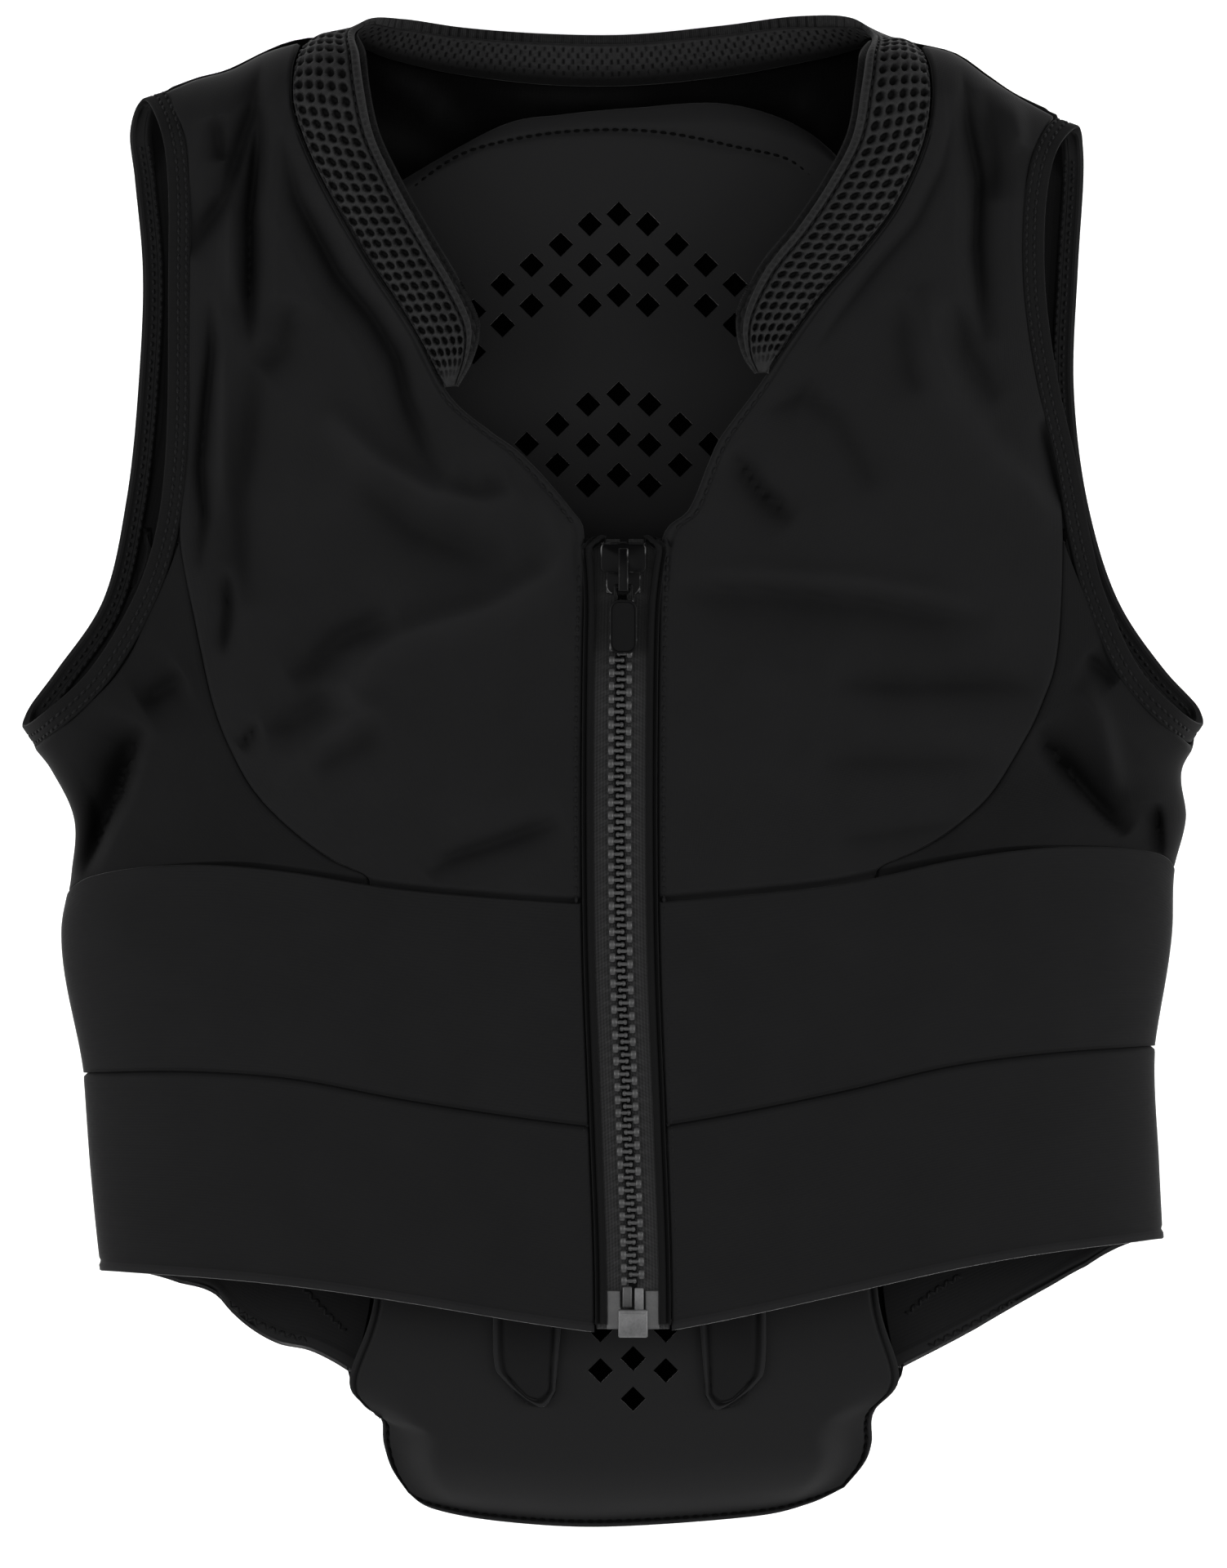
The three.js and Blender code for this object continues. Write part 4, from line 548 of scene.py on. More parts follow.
class Finish:
    """A material built round one shader."""

    def __init__(self, name, constants):
        self.material = bpy.data.materials.new(name)
        self.material.use_nodes = True
        self.tree = self.material.node_tree
        self.shader = self.tree.nodes["Principled BSDF"]
        for socket, value in constants.items():
            self.shader.inputs[socket].default_value = value

    def node(self, kind, settings, sockets):
        made = self.tree.nodes.new(kind)
        for name, value in settings.items():
            setattr(made, name, value)
        for name, value in sockets.items():
            self.plug(value, made.inputs[name])
        return made

    def plug(self, value, socket):
        if isinstance(value, Number):
            value = value.socket
        if isinstance(value, bpy.types.NodeSocket):
            self.tree.links.new(value, socket)
        else:
            socket.default_value = value

    def cut(self):
        """Millimetres across and along the piece's own cut."""
        flat = self.node("ShaderNodeUVMap", {"uv_map": "cut"}, {})
        parts = self.node("ShaderNodeSeparateXYZ", {}, {0: flat.outputs[0]})
        return Number(self, parts.outputs[0]), Number(self, parts.outputs[1])

    def kept(self, name):
        """A number that the piece's mesh keeps."""
        return Number(self, self.node("ShaderNodeAttribute", {"attribute_name": name}, {}).outputs["Fac"])

    def place(self):
        return self.node("ShaderNodeTexCoord", {}, {}).outputs["Object"]

    def mottle(self, scale, detail=3.0):
        sockets = {"Vector": self.place(), "Scale": scale, "Detail": detail}
        return Number(self, self.node("ShaderNodeTexNoise", {}, sockets).outputs[0])

    def outside_slider_shadow(self):
        """1 along the zip, falling off as a painted shadow where the slider and its pull keep the light
        away.
        """
        parts = self.node("ShaderNodeSeparateXYZ", {}, {0: self.place()})
        return 1 - ((Number(self, parts.outputs[1]) - 0.018) * 45.0).most(0.0).least(0.75)

    def between(self, share, first, second):
        sockets = {0: share, 6: (*first, 1.0), 7: (*second, 1.0)}
        return self.node("ShaderNodeMix", {"data_type": "RGBA"}, sockets).outputs[2]

    def bump(self, height, distance, strength=1.0):
        sockets = {"Height": height, "Distance": distance, "Strength": strength}
        self.plug(self.node("ShaderNodeBump", {}, sockets).outputs[0], self.shader.inputs["Normal"])

    def set(self, socket, value):
        self.plug(value, self.shader.inputs[socket])

    def tint(self, share, tone, low, high):
        """Colours the piece between two shades of a tone."""
        self.set("Base Color", self.between(share, shade(tone, low), shade(tone, high)))


def shade(tone, factor):
    return tuple(min(part * factor, 1.0) for part in tone)


def fabric(name, specular, sheen, sheen_roughness, roughness):
    """The shader of cloth, elastic, foam or thread."""
    return Finish(name, {
        "Specular IOR Level": specular, "Sheen Weight": sheen, "Sheen Roughness": sheen_roughness,
        "Roughness": roughness,
    })


def cloth_finish(name, tone, rib, course, gloss=1.0):
    """Knitted stretch cloth: fine ribs, soft mottling and a faint sheen; its fold number adds painted shade
    and painted light.
    """
    finish = fabric(name, 0.05 * gloss, 0.04 * gloss, 0.3, 0.7)
    across, along = finish.cut()
    knit = across.wave(rib) * 0.6 + along.wave(course) * 0.4
    soft = finish.mottle(55.0)
    fine = finish.mottle(1400.0, 1.0)
    # fold carries painted shade of valleys and insides and painted light of ridges and edges
    fold = finish.kept("fold")
    share = 0.5 + (soft * 0.6 + fine * 0.25 + knit * 0.15 - 0.5) * 0.4 + fold
    finish.tint(share, tone, 0.12, 1.88)
    finish.set("Roughness", 0.62 + soft * 0.18)
    finish.bump(knit * 0.7 + fine * 0.5, 0.00006, 0.6)
    return finish.material


def band_finish(name, tone, hem=0.0, seam=0.0):
    """Ribbed elastic face over foam; the lower band gets a painted highlight along its bound hem, the upper
    band painted shade along the edge that sinks into the seam below.
    """
    finish = fabric(name, 0.05, 0.13, 0.17, 0.66)
    across, along = finish.cut()
    ribs = along.wave(0.73)
    twill = (across + along * 0.5).wave(0.9)
    fine = finish.mottle(900.0, 1.0)
    # bound: painted highlight along the hem, painted shade along the seam
    bound = ((hem - along) * 4.0).most(0.0).least(1.0) - ((seam - along) * 2.0).most(0.0).least(1.2)
    patches = finish.mottle(60.0)
    share = ribs * 0.12 + twill * 0.08 + fine * 0.15 + patches * 0.25 + bound * 0.4
    finish.tint(share, tone, 0.6, 1.8)
    finish.set("Roughness", 0.6 + fine * 0.2)
    finish.bump(ribs * 0.35 + fine * 0.4, 0.00007, 0.6)
    return finish.material


def foam_finish(tone):
    """Matt foam skin with a fine grain and scuffed patches."""
    finish = fabric("back_plate_foam", 0.07, 0.16, 0.22, 0.62)
    grain = finish.mottle(2600.0, 2.0)
    patches = finish.mottle(38.0)
    share = grain * 0.4 + patches * 0.6
    finish.tint(share, tone, 0.75, 1.3)
    finish.set("Roughness", 0.56 + patches * 0.2)
    finish.bump(grain, 0.00005, 0.6)
    return finish.material


def mesh_finish(tone):
    """Spacer mesh yarn, with painted shade darkening it down in the holes and over the lower back of the
    collar.
    """
    finish = fabric("collar_spacer_mesh", 0.06, 0.03, 0.3, 0.6)
    across, along = finish.cut()
    down = finish.kept("hole_depth_and_shade")
    yarn = (across + along).wave(0.55) * 0.5 + (across - along).wave(0.55) * 0.5
    fine = finish.mottle(1100.0, 1.0)
    lit = (yarn * 0.4 + fine * 0.6) * (1 - down)
    finish.tint(lit, tone, 0.06, 1.8)
    finish.set("Roughness", 0.58 + fine * 0.2)
    finish.bump(yarn * 0.6 + fine * 0.5 - down * 3.0, 0.00008, 0.7)
    return finish.material


def tape_finish(tone):
    """Woven zip tape with ribs along and across, darkened by a painted shadow round the slider."""
    finish = fabric("zip_tape_weave", 0.12, 0.06, 0.3, 0.6)
    across, along = finish.cut()
    weave = across.wave(0.8) * 0.6 + (along + across * 0.5).wave(0.9) * 0.4
    fine = finish.mottle(1300.0, 1.0)
    share = (weave * 0.6 + fine * 0.4) * finish.outside_slider_shadow()
    finish.tint(share, tone, 0.15, 1.8)
    finish.set("Roughness", 0.55 + fine * 0.2)
    finish.bump(weave * 0.8 + fine * 0.3, 0.00009, 0.8)
    return finish.material


def plastic_finish(name, tone, roughness):
    """Moulded plastic with a faint mould texture and handling wear, darkened by a painted shadow round the
    slider.
    """
    finish = Finish(name, {"Specular IOR Level": 0.35, "Roughness": roughness})
    grain = finish.mottle(1800.0, 2.0)
    wear = finish.mottle(240.0)
    share = (grain * 0.4 + wear * 0.6) * finish.outside_slider_shadow()
    finish.tint(share, tone, 0.1, 1.9)
    finish.set("Roughness", roughness - 0.08 + wear * 0.16)
    finish.bump(grain, 0.00003, 0.5)
    return finish.material


def paint_finish(tone):
    """Black lacquer on metal, lighter on the edges: partly where the lacquer has rubbed through to the
    metal, partly painted highlights.
    """
    finish = Finish("slider_lacquer", {"Specular IOR Level": 0.03, "Roughness": 0.25})
    edge = finish.kept("wear_and_glint")
    # Painted highlights: the lighter grey on the marked edges stands for glints as well as wear
    wear = edge * ((finish.mottle(300.0) - 0.55) * 6.0).most(0.04).least(1.0)
    finish.set("Base Color", finish.between(wear, tone, (0.085, 0.085, 0.085)))
    finish.set("Roughness", 0.18 + finish.mottle(900.0) * 0.12)
    finish.bump(finish.mottle(2200.0, 1.0), 0.00002, 0.4)
    return finish.material


def thread_finish(name, tone, gloss):
    """Twisted sewing thread."""
    finish = fabric(name, 0.1 * gloss, 0.06 * gloss, 0.3, 0.6)
    twist = finish.mottle(2800.0, 1.0)
    finish.tint(twist, tone, 0.6, 1.5)
    finish.set("Roughness", 0.52 + twist * 0.16)
    finish.bump(twist, 0.00004, 0.6)
    return finish.material


def floor_finish(tone):
    """Smooth white paper that glows, lifting the shadows on it and lighting the vest's lower edges from
    below.
    """
    finish = Finish("studio_paper", {
        "Specular IOR Level": 0.1, "Roughness": 0.8, "Emission Color": (1.0, 1.0, 1.0, 1.0),
        "Emission Strength": 0.45,
    })
    fibre = finish.mottle(30.0)
    finish.tint(fibre, tone, 0.995, 1.005)
    return finish.material


@functools.cache
def finish_named(name):
    """Each finish is made once and shared by its pieces."""
    tones = bpy.context.scene.vest_colours
    makers = {
        "cloth": lambda: cloth_finish("stretch_cloth", tones.cloth, 0.62, 0.5, gloss=0.75),
        "back": lambda: cloth_finish("back_cloth_knit", tones.lining, 0.7, 0.6, gloss=0.3),
        "binding": lambda: cloth_finish("ribbed_binding", tones.binding, 0.8, 0.7, gloss=0.6),
        "tongue": lambda: cloth_finish("tongue_cloth", tones.tongue, 0.8, 0.7),
        "band": lambda: band_finish("upper_band_elastic", tones.band, seam=1.0),
        "hemmed": lambda: band_finish("lower_band_elastic", tones.band, 2.7),
        "foam": lambda: foam_finish(tones.foam),
        "mesh": lambda: mesh_finish(tones.mesh),
        "tape": lambda: tape_finish(tones.tape),
        "plastic": lambda: plastic_finish("zip_plastic", tones.plastic, 0.42),
        "film": lambda: plastic_finish("tape_end_film", tones.film, 0.3),
        "box": lambda: plastic_finish("zip_box_plastic", tones.box, 0.4),
        "paint": lambda: paint_finish(tones.paint),
        "thread": lambda: thread_finish("sewing_thread", tones.thread, 0.5),
        "dark_thread": lambda: thread_finish("plate_thread", tones.dark_thread, 0.2),
        "floor": lambda: floor_finish(tones.floor),
    }
    return makers[name]()


def column(rows, value):
    """A smooth function through one column of a table, by the table's first column, level past its ends."""
    places = [row[0] for row in rows]
    values = [row[value] for row in rows]

    @functools.lru_cache(maxsize=None)
    def at(place):
        if place <= places[0]:
            return values[0]
        if place >= places[-1]:
            return values[-1]
        i = bisect_left(places, place)
        t0, t1 = places[i - 1], places[i]
        half = (t1 - t0) / 2
        before = i - 2 if i > 1 else i
        after = i + 1 if i + 1 < len(places) else i - 1
        w_before = half / (t0 - places[before])
        w_after = half / (places[after] - t1)
        p = (place - t0) / (t1 - t0)
        s_before = -w_before * p ** 3 + 2 * w_before * p ** 2 - w_before * p
        s0 = (1 + w_before) * p ** 3 + (-1.5 - 2 * w_before) * p ** 2 + (-0.5 + w_before) * p + 1
        s1 = (-1 - w_after) * p ** 3 + (1.5 + w_after) * p ** 2 + 0.5 * p
        s_after = w_after * p ** 3 - w_after * p ** 2
        return (s_before * values[before] + s0 * values[i - 1] + s1 * values[i] + s_after * values[after])

    return at


half_width = {"left": column(SECTIONS, 1), "right": column(SECTIONS, 2)}
crown_height = column(SECTIONS, 3)
side_height = column(SECTIONS, 4)
shoulder_line = column(SHOULDERS, 1)
zip_line = column(ZIP_LINE, 1)
back_seam = {"left": column(BACK_SEAM, 1), "right": column(BACK_SEAM, 2)}
band_line = {
    side: {"top": column(rows, 1), "split": column(rows, 2), "hem": column(rows, 3)}
    for side, rows in BAND_LINES.items()
}


def clamp(value, low=0.0, high=1.0):
    return max(low, min(high, value))


def lerp(first, second, share):
    return first + (second - first) * share


def eased(share):
    """0 to 1 with a soft start and a soft end."""
    share = clamp(share)
    return share * share * (3 - 2 * share)


def risen(share):
    """0 to 1 with a soft end."""
    share = clamp(share)
    return share * (2 - share)


def roll(depth, radius):
    """0 at the edge of a rounded border, 1 from its radius inwards."""
    left = 1 - clamp(depth / radius)
    return math.sqrt(max(1 - left * left, 0.0))


def spread(creases):
    """Each crease with the box that it can be felt in."""
    boxed = []
    for points, left, right, rise in creases:
        xs, ys = zip(*points)
        reach = CREASE_REACH * max(left, right)
        starts = list(accumulate(map(math.dist, points, points[1:]), initial=0.0))
        box = (min(xs) - reach, max(xs) + reach, min(ys) - reach, max(ys) + reach)
        boxed.append((points, starts, left, right, rise, box))
    return boxed


FRONT_CREASES = spread(CREASES)
BACK_CREASES = spread(YOKE_CREASES)
PLATE_CREASES = spread([(PLATE_ARC, 1.0, 1.0, -0.8)])


def crease_height(x, y, creases):
    """Height of all creases at a point; valleys are sharper than ridges, and all fade out at their ends."""
    height = 0.0
    for points, starts, left, right, rise, (x_low, x_high, y_low, y_high) in creases:
        if not (x_low < x < x_high and y_low < y < y_high):
            continue
        best, width, place = math.inf, left, 0.0
        for (x0, y0), (x1, y1), start, stop in zip(points, points[1:], starts, starts[1:]):
            dx, dy = x1 - x0, y1 - y0
            t = clamp(((x - x0) * dx + (y - y0) * dy) / (dx * dx + dy * dy))
            ox, oy = x - x0 - t * dx, y - y0 - t * dy
            far = ox * ox + oy * oy
            if far < best:
                best = far
                width = left if dx * oy - dy * ox > 0 else right
                place = lerp(start, stop, t)
        away = math.sqrt(best) / width
        if away < CREASE_REACH:
            fade = clamp(min(place, starts[-1] - place) / (CREASE_FADE * starts[-1]))
            sharp = math.exp(0.3 - math.hypot(1.25 * away, 0.3)) if rise < 0 else math.exp(-away * away)
            height += rise * fade * (2 - fade) * sharp * clamp(2 * (CREASE_REACH - away))
    return height


def ripple(x, y):
    """Slight unevenness of well-used cloth."""
    broad = noise.noise(Vector((x / 26, y / 38, 3.7)))
    small = noise.noise(Vector((x / 9, y / 13, 8.1)))
    return 0.35 * broad + 0.12 * small


def front(x, y, creased=False):
    """Height of the front's outer surface."""
    side = "left" if x < 0 else "right"
    reach = min(abs(x) / half_width[side](y), 1.0)
    dome = (1 - reach ** DOME_POWER) ** (1 / DOME_POWER)
    low = side_height(y)
    rise = low + (crown_height(y) - low) * dome
    if creased:
        uneven = FOLD_DEPTH * crease_height(x, y, FRONT_CREASES) + ripple(x, y) * clamp((abs(x) - 14) / 12)
        rise += uneven * clamp((1 - reach) / OUTLINE_FADE)
    return FOLD_HEIGHT + (rise - FOLD_HEIGHT) * roll(shoulder_line(x) - y, FRONT_ROLL)


def back_height(x, y):
    """Height of the back's outer surface, which curls up to the shoulder folds."""
    return FOLD_HEIGHT * (1 - roll(shoulder_line(x) - y, BACK_ROLL))


def turn_at(side, x, y):
    """The turn round the body of a point of the front."""
    reach = min(abs(x) / half_width[side](y), 1.0)
    return math.asin(reach ** (DOME_POWER / 2)) / (math.pi / 2)


def turn_behind(side, x, y):
    """The turn round the body of a point below the side or on the back."""
    half = half_width[side](y)
    radius = SIDE_ROUND * side_height(y)
    flat = half - radius
    if x > flat:
        return 1 + math.acos(1 - (half - x) / radius) / math.pi
    return 1.5 + 0.5 * (flat - x) / (flat - back_seam[side](y))


def wrap(side, turn, y, creased=False):
    """A point of the outer surface by its turn: over the front, round the side, flat along the floor."""
    half = half_width[side](y)
    sign = SIDES[side]
    if turn <= 1:
        x = sign * half * math.sin(turn * math.pi / 2) ** (2 / DOME_POWER)
        return Vector((x, y, front(x, y, creased)))
    height = side_height(y)
    radius = SIDE_ROUND * height
    if turn <= 1.5:
        angle = (turn - 1) * math.pi
        return Vector((sign * (half - radius * (1 - math.cos(angle))), y, height * (1 - math.sin(angle))))
    return Vector((sign * lerp(half - radius, back_seam[side](y), (turn - 1.5) / 0.5), y, 0.0))


def hermite(first, last, leave, arrive, t):
    """A point of the cubic between two points, by the ways that it leaves and arrives."""
    cubic, square = 2 * first - 2 * last + leave + arrive, 3 * last - 3 * first - 2 * leave - arrive
    return cubic * t ** 3 + square * t ** 2 + leave * t + first


def lengths_along(points):
    """The length of a line up to each of its points."""
    return list(accumulate(((b - a).length for a, b in zip(points, points[1:])), initial=0.0))


class Path:
    """A smooth line through a few points, followed by the share of its length; it runs on past its ends."""

    def __init__(self, points):
        given = [Vector(p) for p in points]
        last = len(given) - 1
        self.points = []
        for i in range(last):
            p0, p1, p2, p3 = given[max(i - 1, 0)], given[i], given[i + 1], given[min(i + 2, last)]
            v0, v1 = (p2 - p0) / 2, (p3 - p1) / 2
            self.points += [hermite(p1, p2, v0, v1, k / PATH_STEPS) for k in range(PATH_STEPS)]
        self.points.append(given[-1])
        self.lengths = lengths_along(self.points)
        self.length = self.lengths[-1]
        self.at = functools.lru_cache(maxsize=None)(self.find)

    def find(self, share):
        want = share * self.length
        i = clamp(bisect_left(self.lengths, want), 1, len(self.points) - 1)
        step = self.lengths[i] - self.lengths[i - 1]
        return self.points[i - 1].lerp(self.points[i], (want - self.lengths[i - 1]) / step)


def patch(bottom, top, left, right, lap=SEAM_LAP):
    """The plane filled in between four edges and past them by the lap."""
    lap_u = 2 * lap / (bottom.length + top.length)
    lap_v = 2 * lap / (left.length + right.length)
    c0, c1, c2, c3 = bottom.at(0.0), bottom.at(1.0), top.at(0.0), top.at(1.0)

    def at(s, t):
        u, v = lerp(-lap_u, 1 + lap_u, s), lerp(-lap_v, 1 + lap_v, t)
        edges = bottom.at(u) * (1 - v) + top.at(u) * v + left.at(v) * (1 - u) + right.at(v) * u
        return edges - c0 * (1 - u) * (1 - v) - c1 * u * (1 - v) - c2 * (1 - u) * v - c3 * u * v

    return at


def rounded_course(points, closed):
    """A line through points with a point for each share of their count, rounder where they are close."""
    count = len(points)

    def point(i):
        if closed:
            return points[i % count]
        if i < 0:
            return points[0] * 2 - points[1]
        return points[-1] * 2 - points[-2] if i >= count else points[i]

    @functools.lru_cache(maxsize=None)
    def at(share):
        place = share * (count if closed else count - 1)
        i = int(math.floor(place))
        if not closed:
            i = min(i, count - 2)
        t = place - i
        p0, p1, p2, p3 = point(i - 1), point(i), point(i + 1), point(i + 2)
        d0, d1, d2 = (max((b - a).length, 1e-4) ** 0.5 for a, b in ((p0, p1), (p1, p2), (p2, p3)))
        v1 = ((p1 - p0) / d0 - (p2 - p0) / (d0 + d1) + (p2 - p1) / d1) * d1
        v2 = ((p2 - p1) / d1 - (p3 - p1) / (d1 + d2) + (p3 - p2) / d2) * d1
        return hermite(p1, p2, v1, v2, t)

    return at


def ribbon(first, second, closed):
    """The strip between two lines."""
    a, b = rounded_course(first, closed), rounded_course(second, closed)
    return lambda u, v: a(u).lerp(b(u), v)


def crowded(share, amount):
    """Steps that lie closer together at both ends."""
    return share - amount * math.sin(2 * math.pi * share) / (2 * math.pi)


def in_frame(point):
    return (point + ZERO) * MM


def to_frame(bm):
    """Moves a bmesh from table millimetres into the frame."""
    for vert in bm.verts:
        vert.co = in_frame(vert.co)


def link(name, data):
    """Puts a mesh, lamp or camera into the scene."""
    made = bpy.data.objects.new(name, data)
    bpy.context.scene.collection.objects.link(made)
    return made


def link_mesh(name, bm):
    mesh = bpy.data.meshes.new(name)
    bm.to_mesh(mesh)
    bm.free()
    return link(name, mesh)


def smooth(mesh, sharp):
    """Smooth shading that breaks at edges sharper than an angle."""
    mesh.polygons.foreach_set("use_smooth", [True] * len(mesh.polygons))
    mesh.set_sharp_from_angle(angle=math.radians(sharp))


def put(name, bm, finish, body="vest", replaces=(), sharp=60, wall=0.0):
    """Turns a bmesh in table millimetres into a piece; a wall goes down from a sheet's outer surface."""
    to_frame(bm)
    piece = link_mesh(name, bm)
    smooth(piece.data, sharp)
    piece.data.materials.append(finish_named(finish))
    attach(piece, body)
    if replaces:
        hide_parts(*replaces)
    if wall:
        sheet = piece.modifiers.new("wall", "SOLIDIFY")
        sheet.thickness = wall
        sheet.offset = -1.0
    return piece


def sew(surface, grid, outward, sink=0.0, closed=False, shape=None, seen=(0.5, 0.5)):
    """A grid laid on a surface, its borders rolled down by the edge radius.

    shape(u, v, du, dv) gives how far a point lies below the surface; du and dv are its distances in
    millimetres from the start of the grid. The outer face looks outward at the place that seen names.
    """
    across, along, edge, crowd = GRIDS[grid]
    bm = bmesh.new()
    bmesh.ops.create_grid(bm, x_segments=across, y_segments=along, size=0.5)
    flat = bm.loops.layers.uv.new("cut")
    amount = 0.0 if closed else crowd
    steps = {}
    for vert in bm.verts:
        i, j = round((vert.co.x + 0.5) * across), round((vert.co.y + 0.5) * along)
        steps[i, j] = vert
        vert.co = surface(crowded(i / across, amount), crowded(j / along, crowd))
    widths = [
        sum((steps[i + 1, j].co - steps[i, j].co).length for i in range(across)) for j in range(along + 1)
    ]
    heights = [
        sum((steps[i, j + 1].co - steps[i, j].co).length for j in range(along)) for i in range(across + 1)
    ]
    width, height = sum(widths) / len(widths), sum(heights) / len(heights)
    places = {vert: (i, j) for (i, j), vert in steps.items()}
    for face in bm.faces:
        for loop in face.loops:
            i, j = places[loop.vert]
            loop[flat].uv = (crowded(i / across, amount) * width, crowded(j / along, crowd) * height)
    bm.normal_update()
    judge = steps[round(seen[0] * across), round(seen[1] * along)]
    if judge.normal.dot(outward) < 0:
        bmesh.ops.reverse_faces(bm, faces=bm.faces[:])
        bm.normal_update()
    depths = {}
    for vert, (i, j) in places.items():
        u, v = crowded(i / across, amount), crowded(j / along, crowd)
        du, dv = u * widths[j], v * heights[i]
        border = min(dv, heights[i] - dv) if closed else min(du, widths[j] - du, dv, heights[i] - dv)
        depths[vert] = sink + edge * (1 - roll(border, edge))
        if shape:
            depths[vert] += shape(u, v, du, dv)
    for vert, depth in depths.items():
        vert.co -= vert.normal * depth
    if closed:
        bmesh.ops.remove_doubles(bm, verts=bm.verts[:], dist=0.01)
    return bm


def mark(bm, name, values):
    """Keeps a number for each vertex for the piece's finish."""
    layer = bm.verts.layers.float.new(name)
    for vert, value in zip(bm.verts, values):
        vert[layer] = value


def paint_fold_shade_and_light(bm, level=0.0):
    """Paints shade into the valleys and light onto the ridges of the front, kept as the fold number."""
    shades = []
    for vert in bm.verts:
        height = crease_height(*vert.co.xy, FRONT_CREASES) if vert.co.z > FOLD_HEIGHT else 0.0
        shades.append(level + clamp((VALLEY_SHADE if height < 0 else RIDGE_LIGHT) * height, -0.4, 0.2))
    mark(bm, "fold", shades)


def groove(distance, middle, width, depth):
    return depth * math.exp(-((distance - middle) / width) ** 2)


def zip_edge(side, y):
    return zip_line(y) + SIDES[side] * FRONT_EDGE


def band_top_edge(side):
    """The edge of the cloth under a band, from the zip to the chest seam."""
    seam = CHEST_SEAM[side][0]
    top = band_line[side]["top"]
    start = turn_at(side, zip_edge(side, top(0)), top(0))
    turns = [lerp(start, turn_at(side, *seam), i / 8) for i in range(9)]
    return [wrap(side, turn, top(turn)).xy - Vector((0, TUCK)) for turn in turns]


def chest_seam(side):
    """The curved seam, from the edge under the band upwards."""
    return [band_top_edge(side)[-1], *CHEST_SEAM[side]]


def tucked(border, depth, reach):
    """How far cloth dips where it runs on under its neighbour, by the distance from its border."""
    return depth * (1 - clamp((border - TUCK) / reach)) ** 2


def rest(share, distance):
    """The distance that is left to the far border of a grid."""
    return distance / share - distance if share else math.inf


@functools.cache
def chest_surface(side):
    """The chest panel; its first side runs along the seam and armhole on the left, the zip on the right."""
    bottom = band_top_edge(side)
    zip_side = [(zip_edge(side, y), y) for y in ZIP_EDGE_HEIGHTS]
    inner = Path([bottom[0], *zip_side, *NECK[side]])
    armhole = [(x + SIDES[side], y) for x, y in ARMHOLE_SEAM[side]]
    armhole[-1] = (armhole[-1][0] + SIDES[side] * SHOULDER_LAP[0], armhole[-1][1] + SHOULDER_LAP[1])
    outer = Path([*chest_seam(side), *armhole])
    (arm_x, arm_y), (neck_x, neck_y) = armhole[-1], NECK[side][-1]
    between = [lerp(arm_x, neck_x, t) for t in (0.25, 0.5, 0.75)]
    shoulder = [(arm_x, arm_y), *((x, shoulder_line(x)) for x in between), (neck_x, neck_y)]
    if side == "left":
        plan = patch(Path(bottom[::-1]), Path(shoulder), outer, inner)
    else:
        plan = patch(Path(bottom), Path(shoulder[::-1]), inner, outer)

    def surface(u, v):
        x, y = plan(u, v)
        return Vector((x, y, front(x, y, True)))

    return surface


@functools.cache
def side_surface(side):
    """The side panel, from the chest seam round the side to the seam on the back."""
    def unrolled(turn, y):
        return (TURN_LENGTH * turn, y)

    seam_path = Path(chest_seam(side))
    seam = [seam_path.at(i / 24) for i in range(25)]
    seam = [unrolled(turn_at(side, p.x, p.y), p.y) for p in seam]
    end = turn_at(side, *CHEST_SEAM[side][0])
    turns = [lerp(end, 2, i / 10) for i in range(11)]
    bottom = [unrolled(turn, band_line[side]["top"](turn) - TUCK) for turn in turns]
    bottom[0] = seam[0]
    rise = [unrolled(turn_at(side, x + 1, y), y + 1) for x, y in UNDERARM_FRONT[side]]
    fall = [unrolled(turn_behind(side, x + 2, y), y + 2) for x, y in UNDERARM_BACK[side]]
    top = [seam[-1], *rise, unrolled(1, UNDERARM_TIP + 1), *fall, unrolled(2, BACK_SEAM_END + 4)]
    behind = [bottom[-1], unrolled(2, 0), unrolled(2, 30), top[-1]]
    plan = patch(Path(bottom), Path(top), Path(seam), Path(behind))

    def surface(u, v):
        turn, y = plan(u, v)
        return wrap(side, turn / TURN_LENGTH, y, True)

    return surface


@functools.cache
def band_surface(side, upper, lower):
    """A waist band, from the zip round the side to the seam on the back."""
    high, low = band_line[side][upper], band_line[side][lower]
    over = TUCK if upper == "split" else 0.0

    def surface(u, v):
        for (u0, t0), (u1, t1) in zip(BAND_TURNS, BAND_TURNS[1:]):
            if u <= u1:
                turn = lerp(t0, t1, (u - u0) / (u1 - u0))
                break
        y = lerp(low(turn), high(turn) + over, v)
        if turn < 1:
            first = turn_at(side, zip_edge(side, y) + SIDES[side] * SEAM_GAP / 2, y)
            turn = lerp(first, 1, turn)
        point = wrap(side, turn, y)
        point.x -= SIDES[side] * BAND_REACH * clamp((u - 0.9) / 0.1)
        return point

    return surface


@functools.cache
def collar_course():
    """The collar's strip and its length along the middle up to each of many even steps."""
    low = COLLAR_FLOOR
    seam = [Vector((x, y, lerp(low, front(x, y) + low, lift))) for x, y, lift, *_ in COLLAR_ROWS]
    rim = [Vector((row[3], row[4], p.z + row[5])) for row, p in zip(COLLAR_ROWS, seam)]
    strip = ribbon(seam, rim, False)
    return strip, lengths_along([strip(i / COLLAR_STEPS, 0.5) for i in range(COLLAR_STEPS + 1)])


def collar_point(u, v):
    """A point of the collar by the share of its length and of its width."""
    strip, lengths = collar_course()
    want = clamp(u) * lengths[-1]
    i = clamp(bisect_left(lengths, want), 1, len(lengths) - 1)
    step = (want - lengths[i - 1]) / (lengths[i] - lengths[i - 1])
    return strip((i - 1 + step) / (len(lengths) - 1), v)


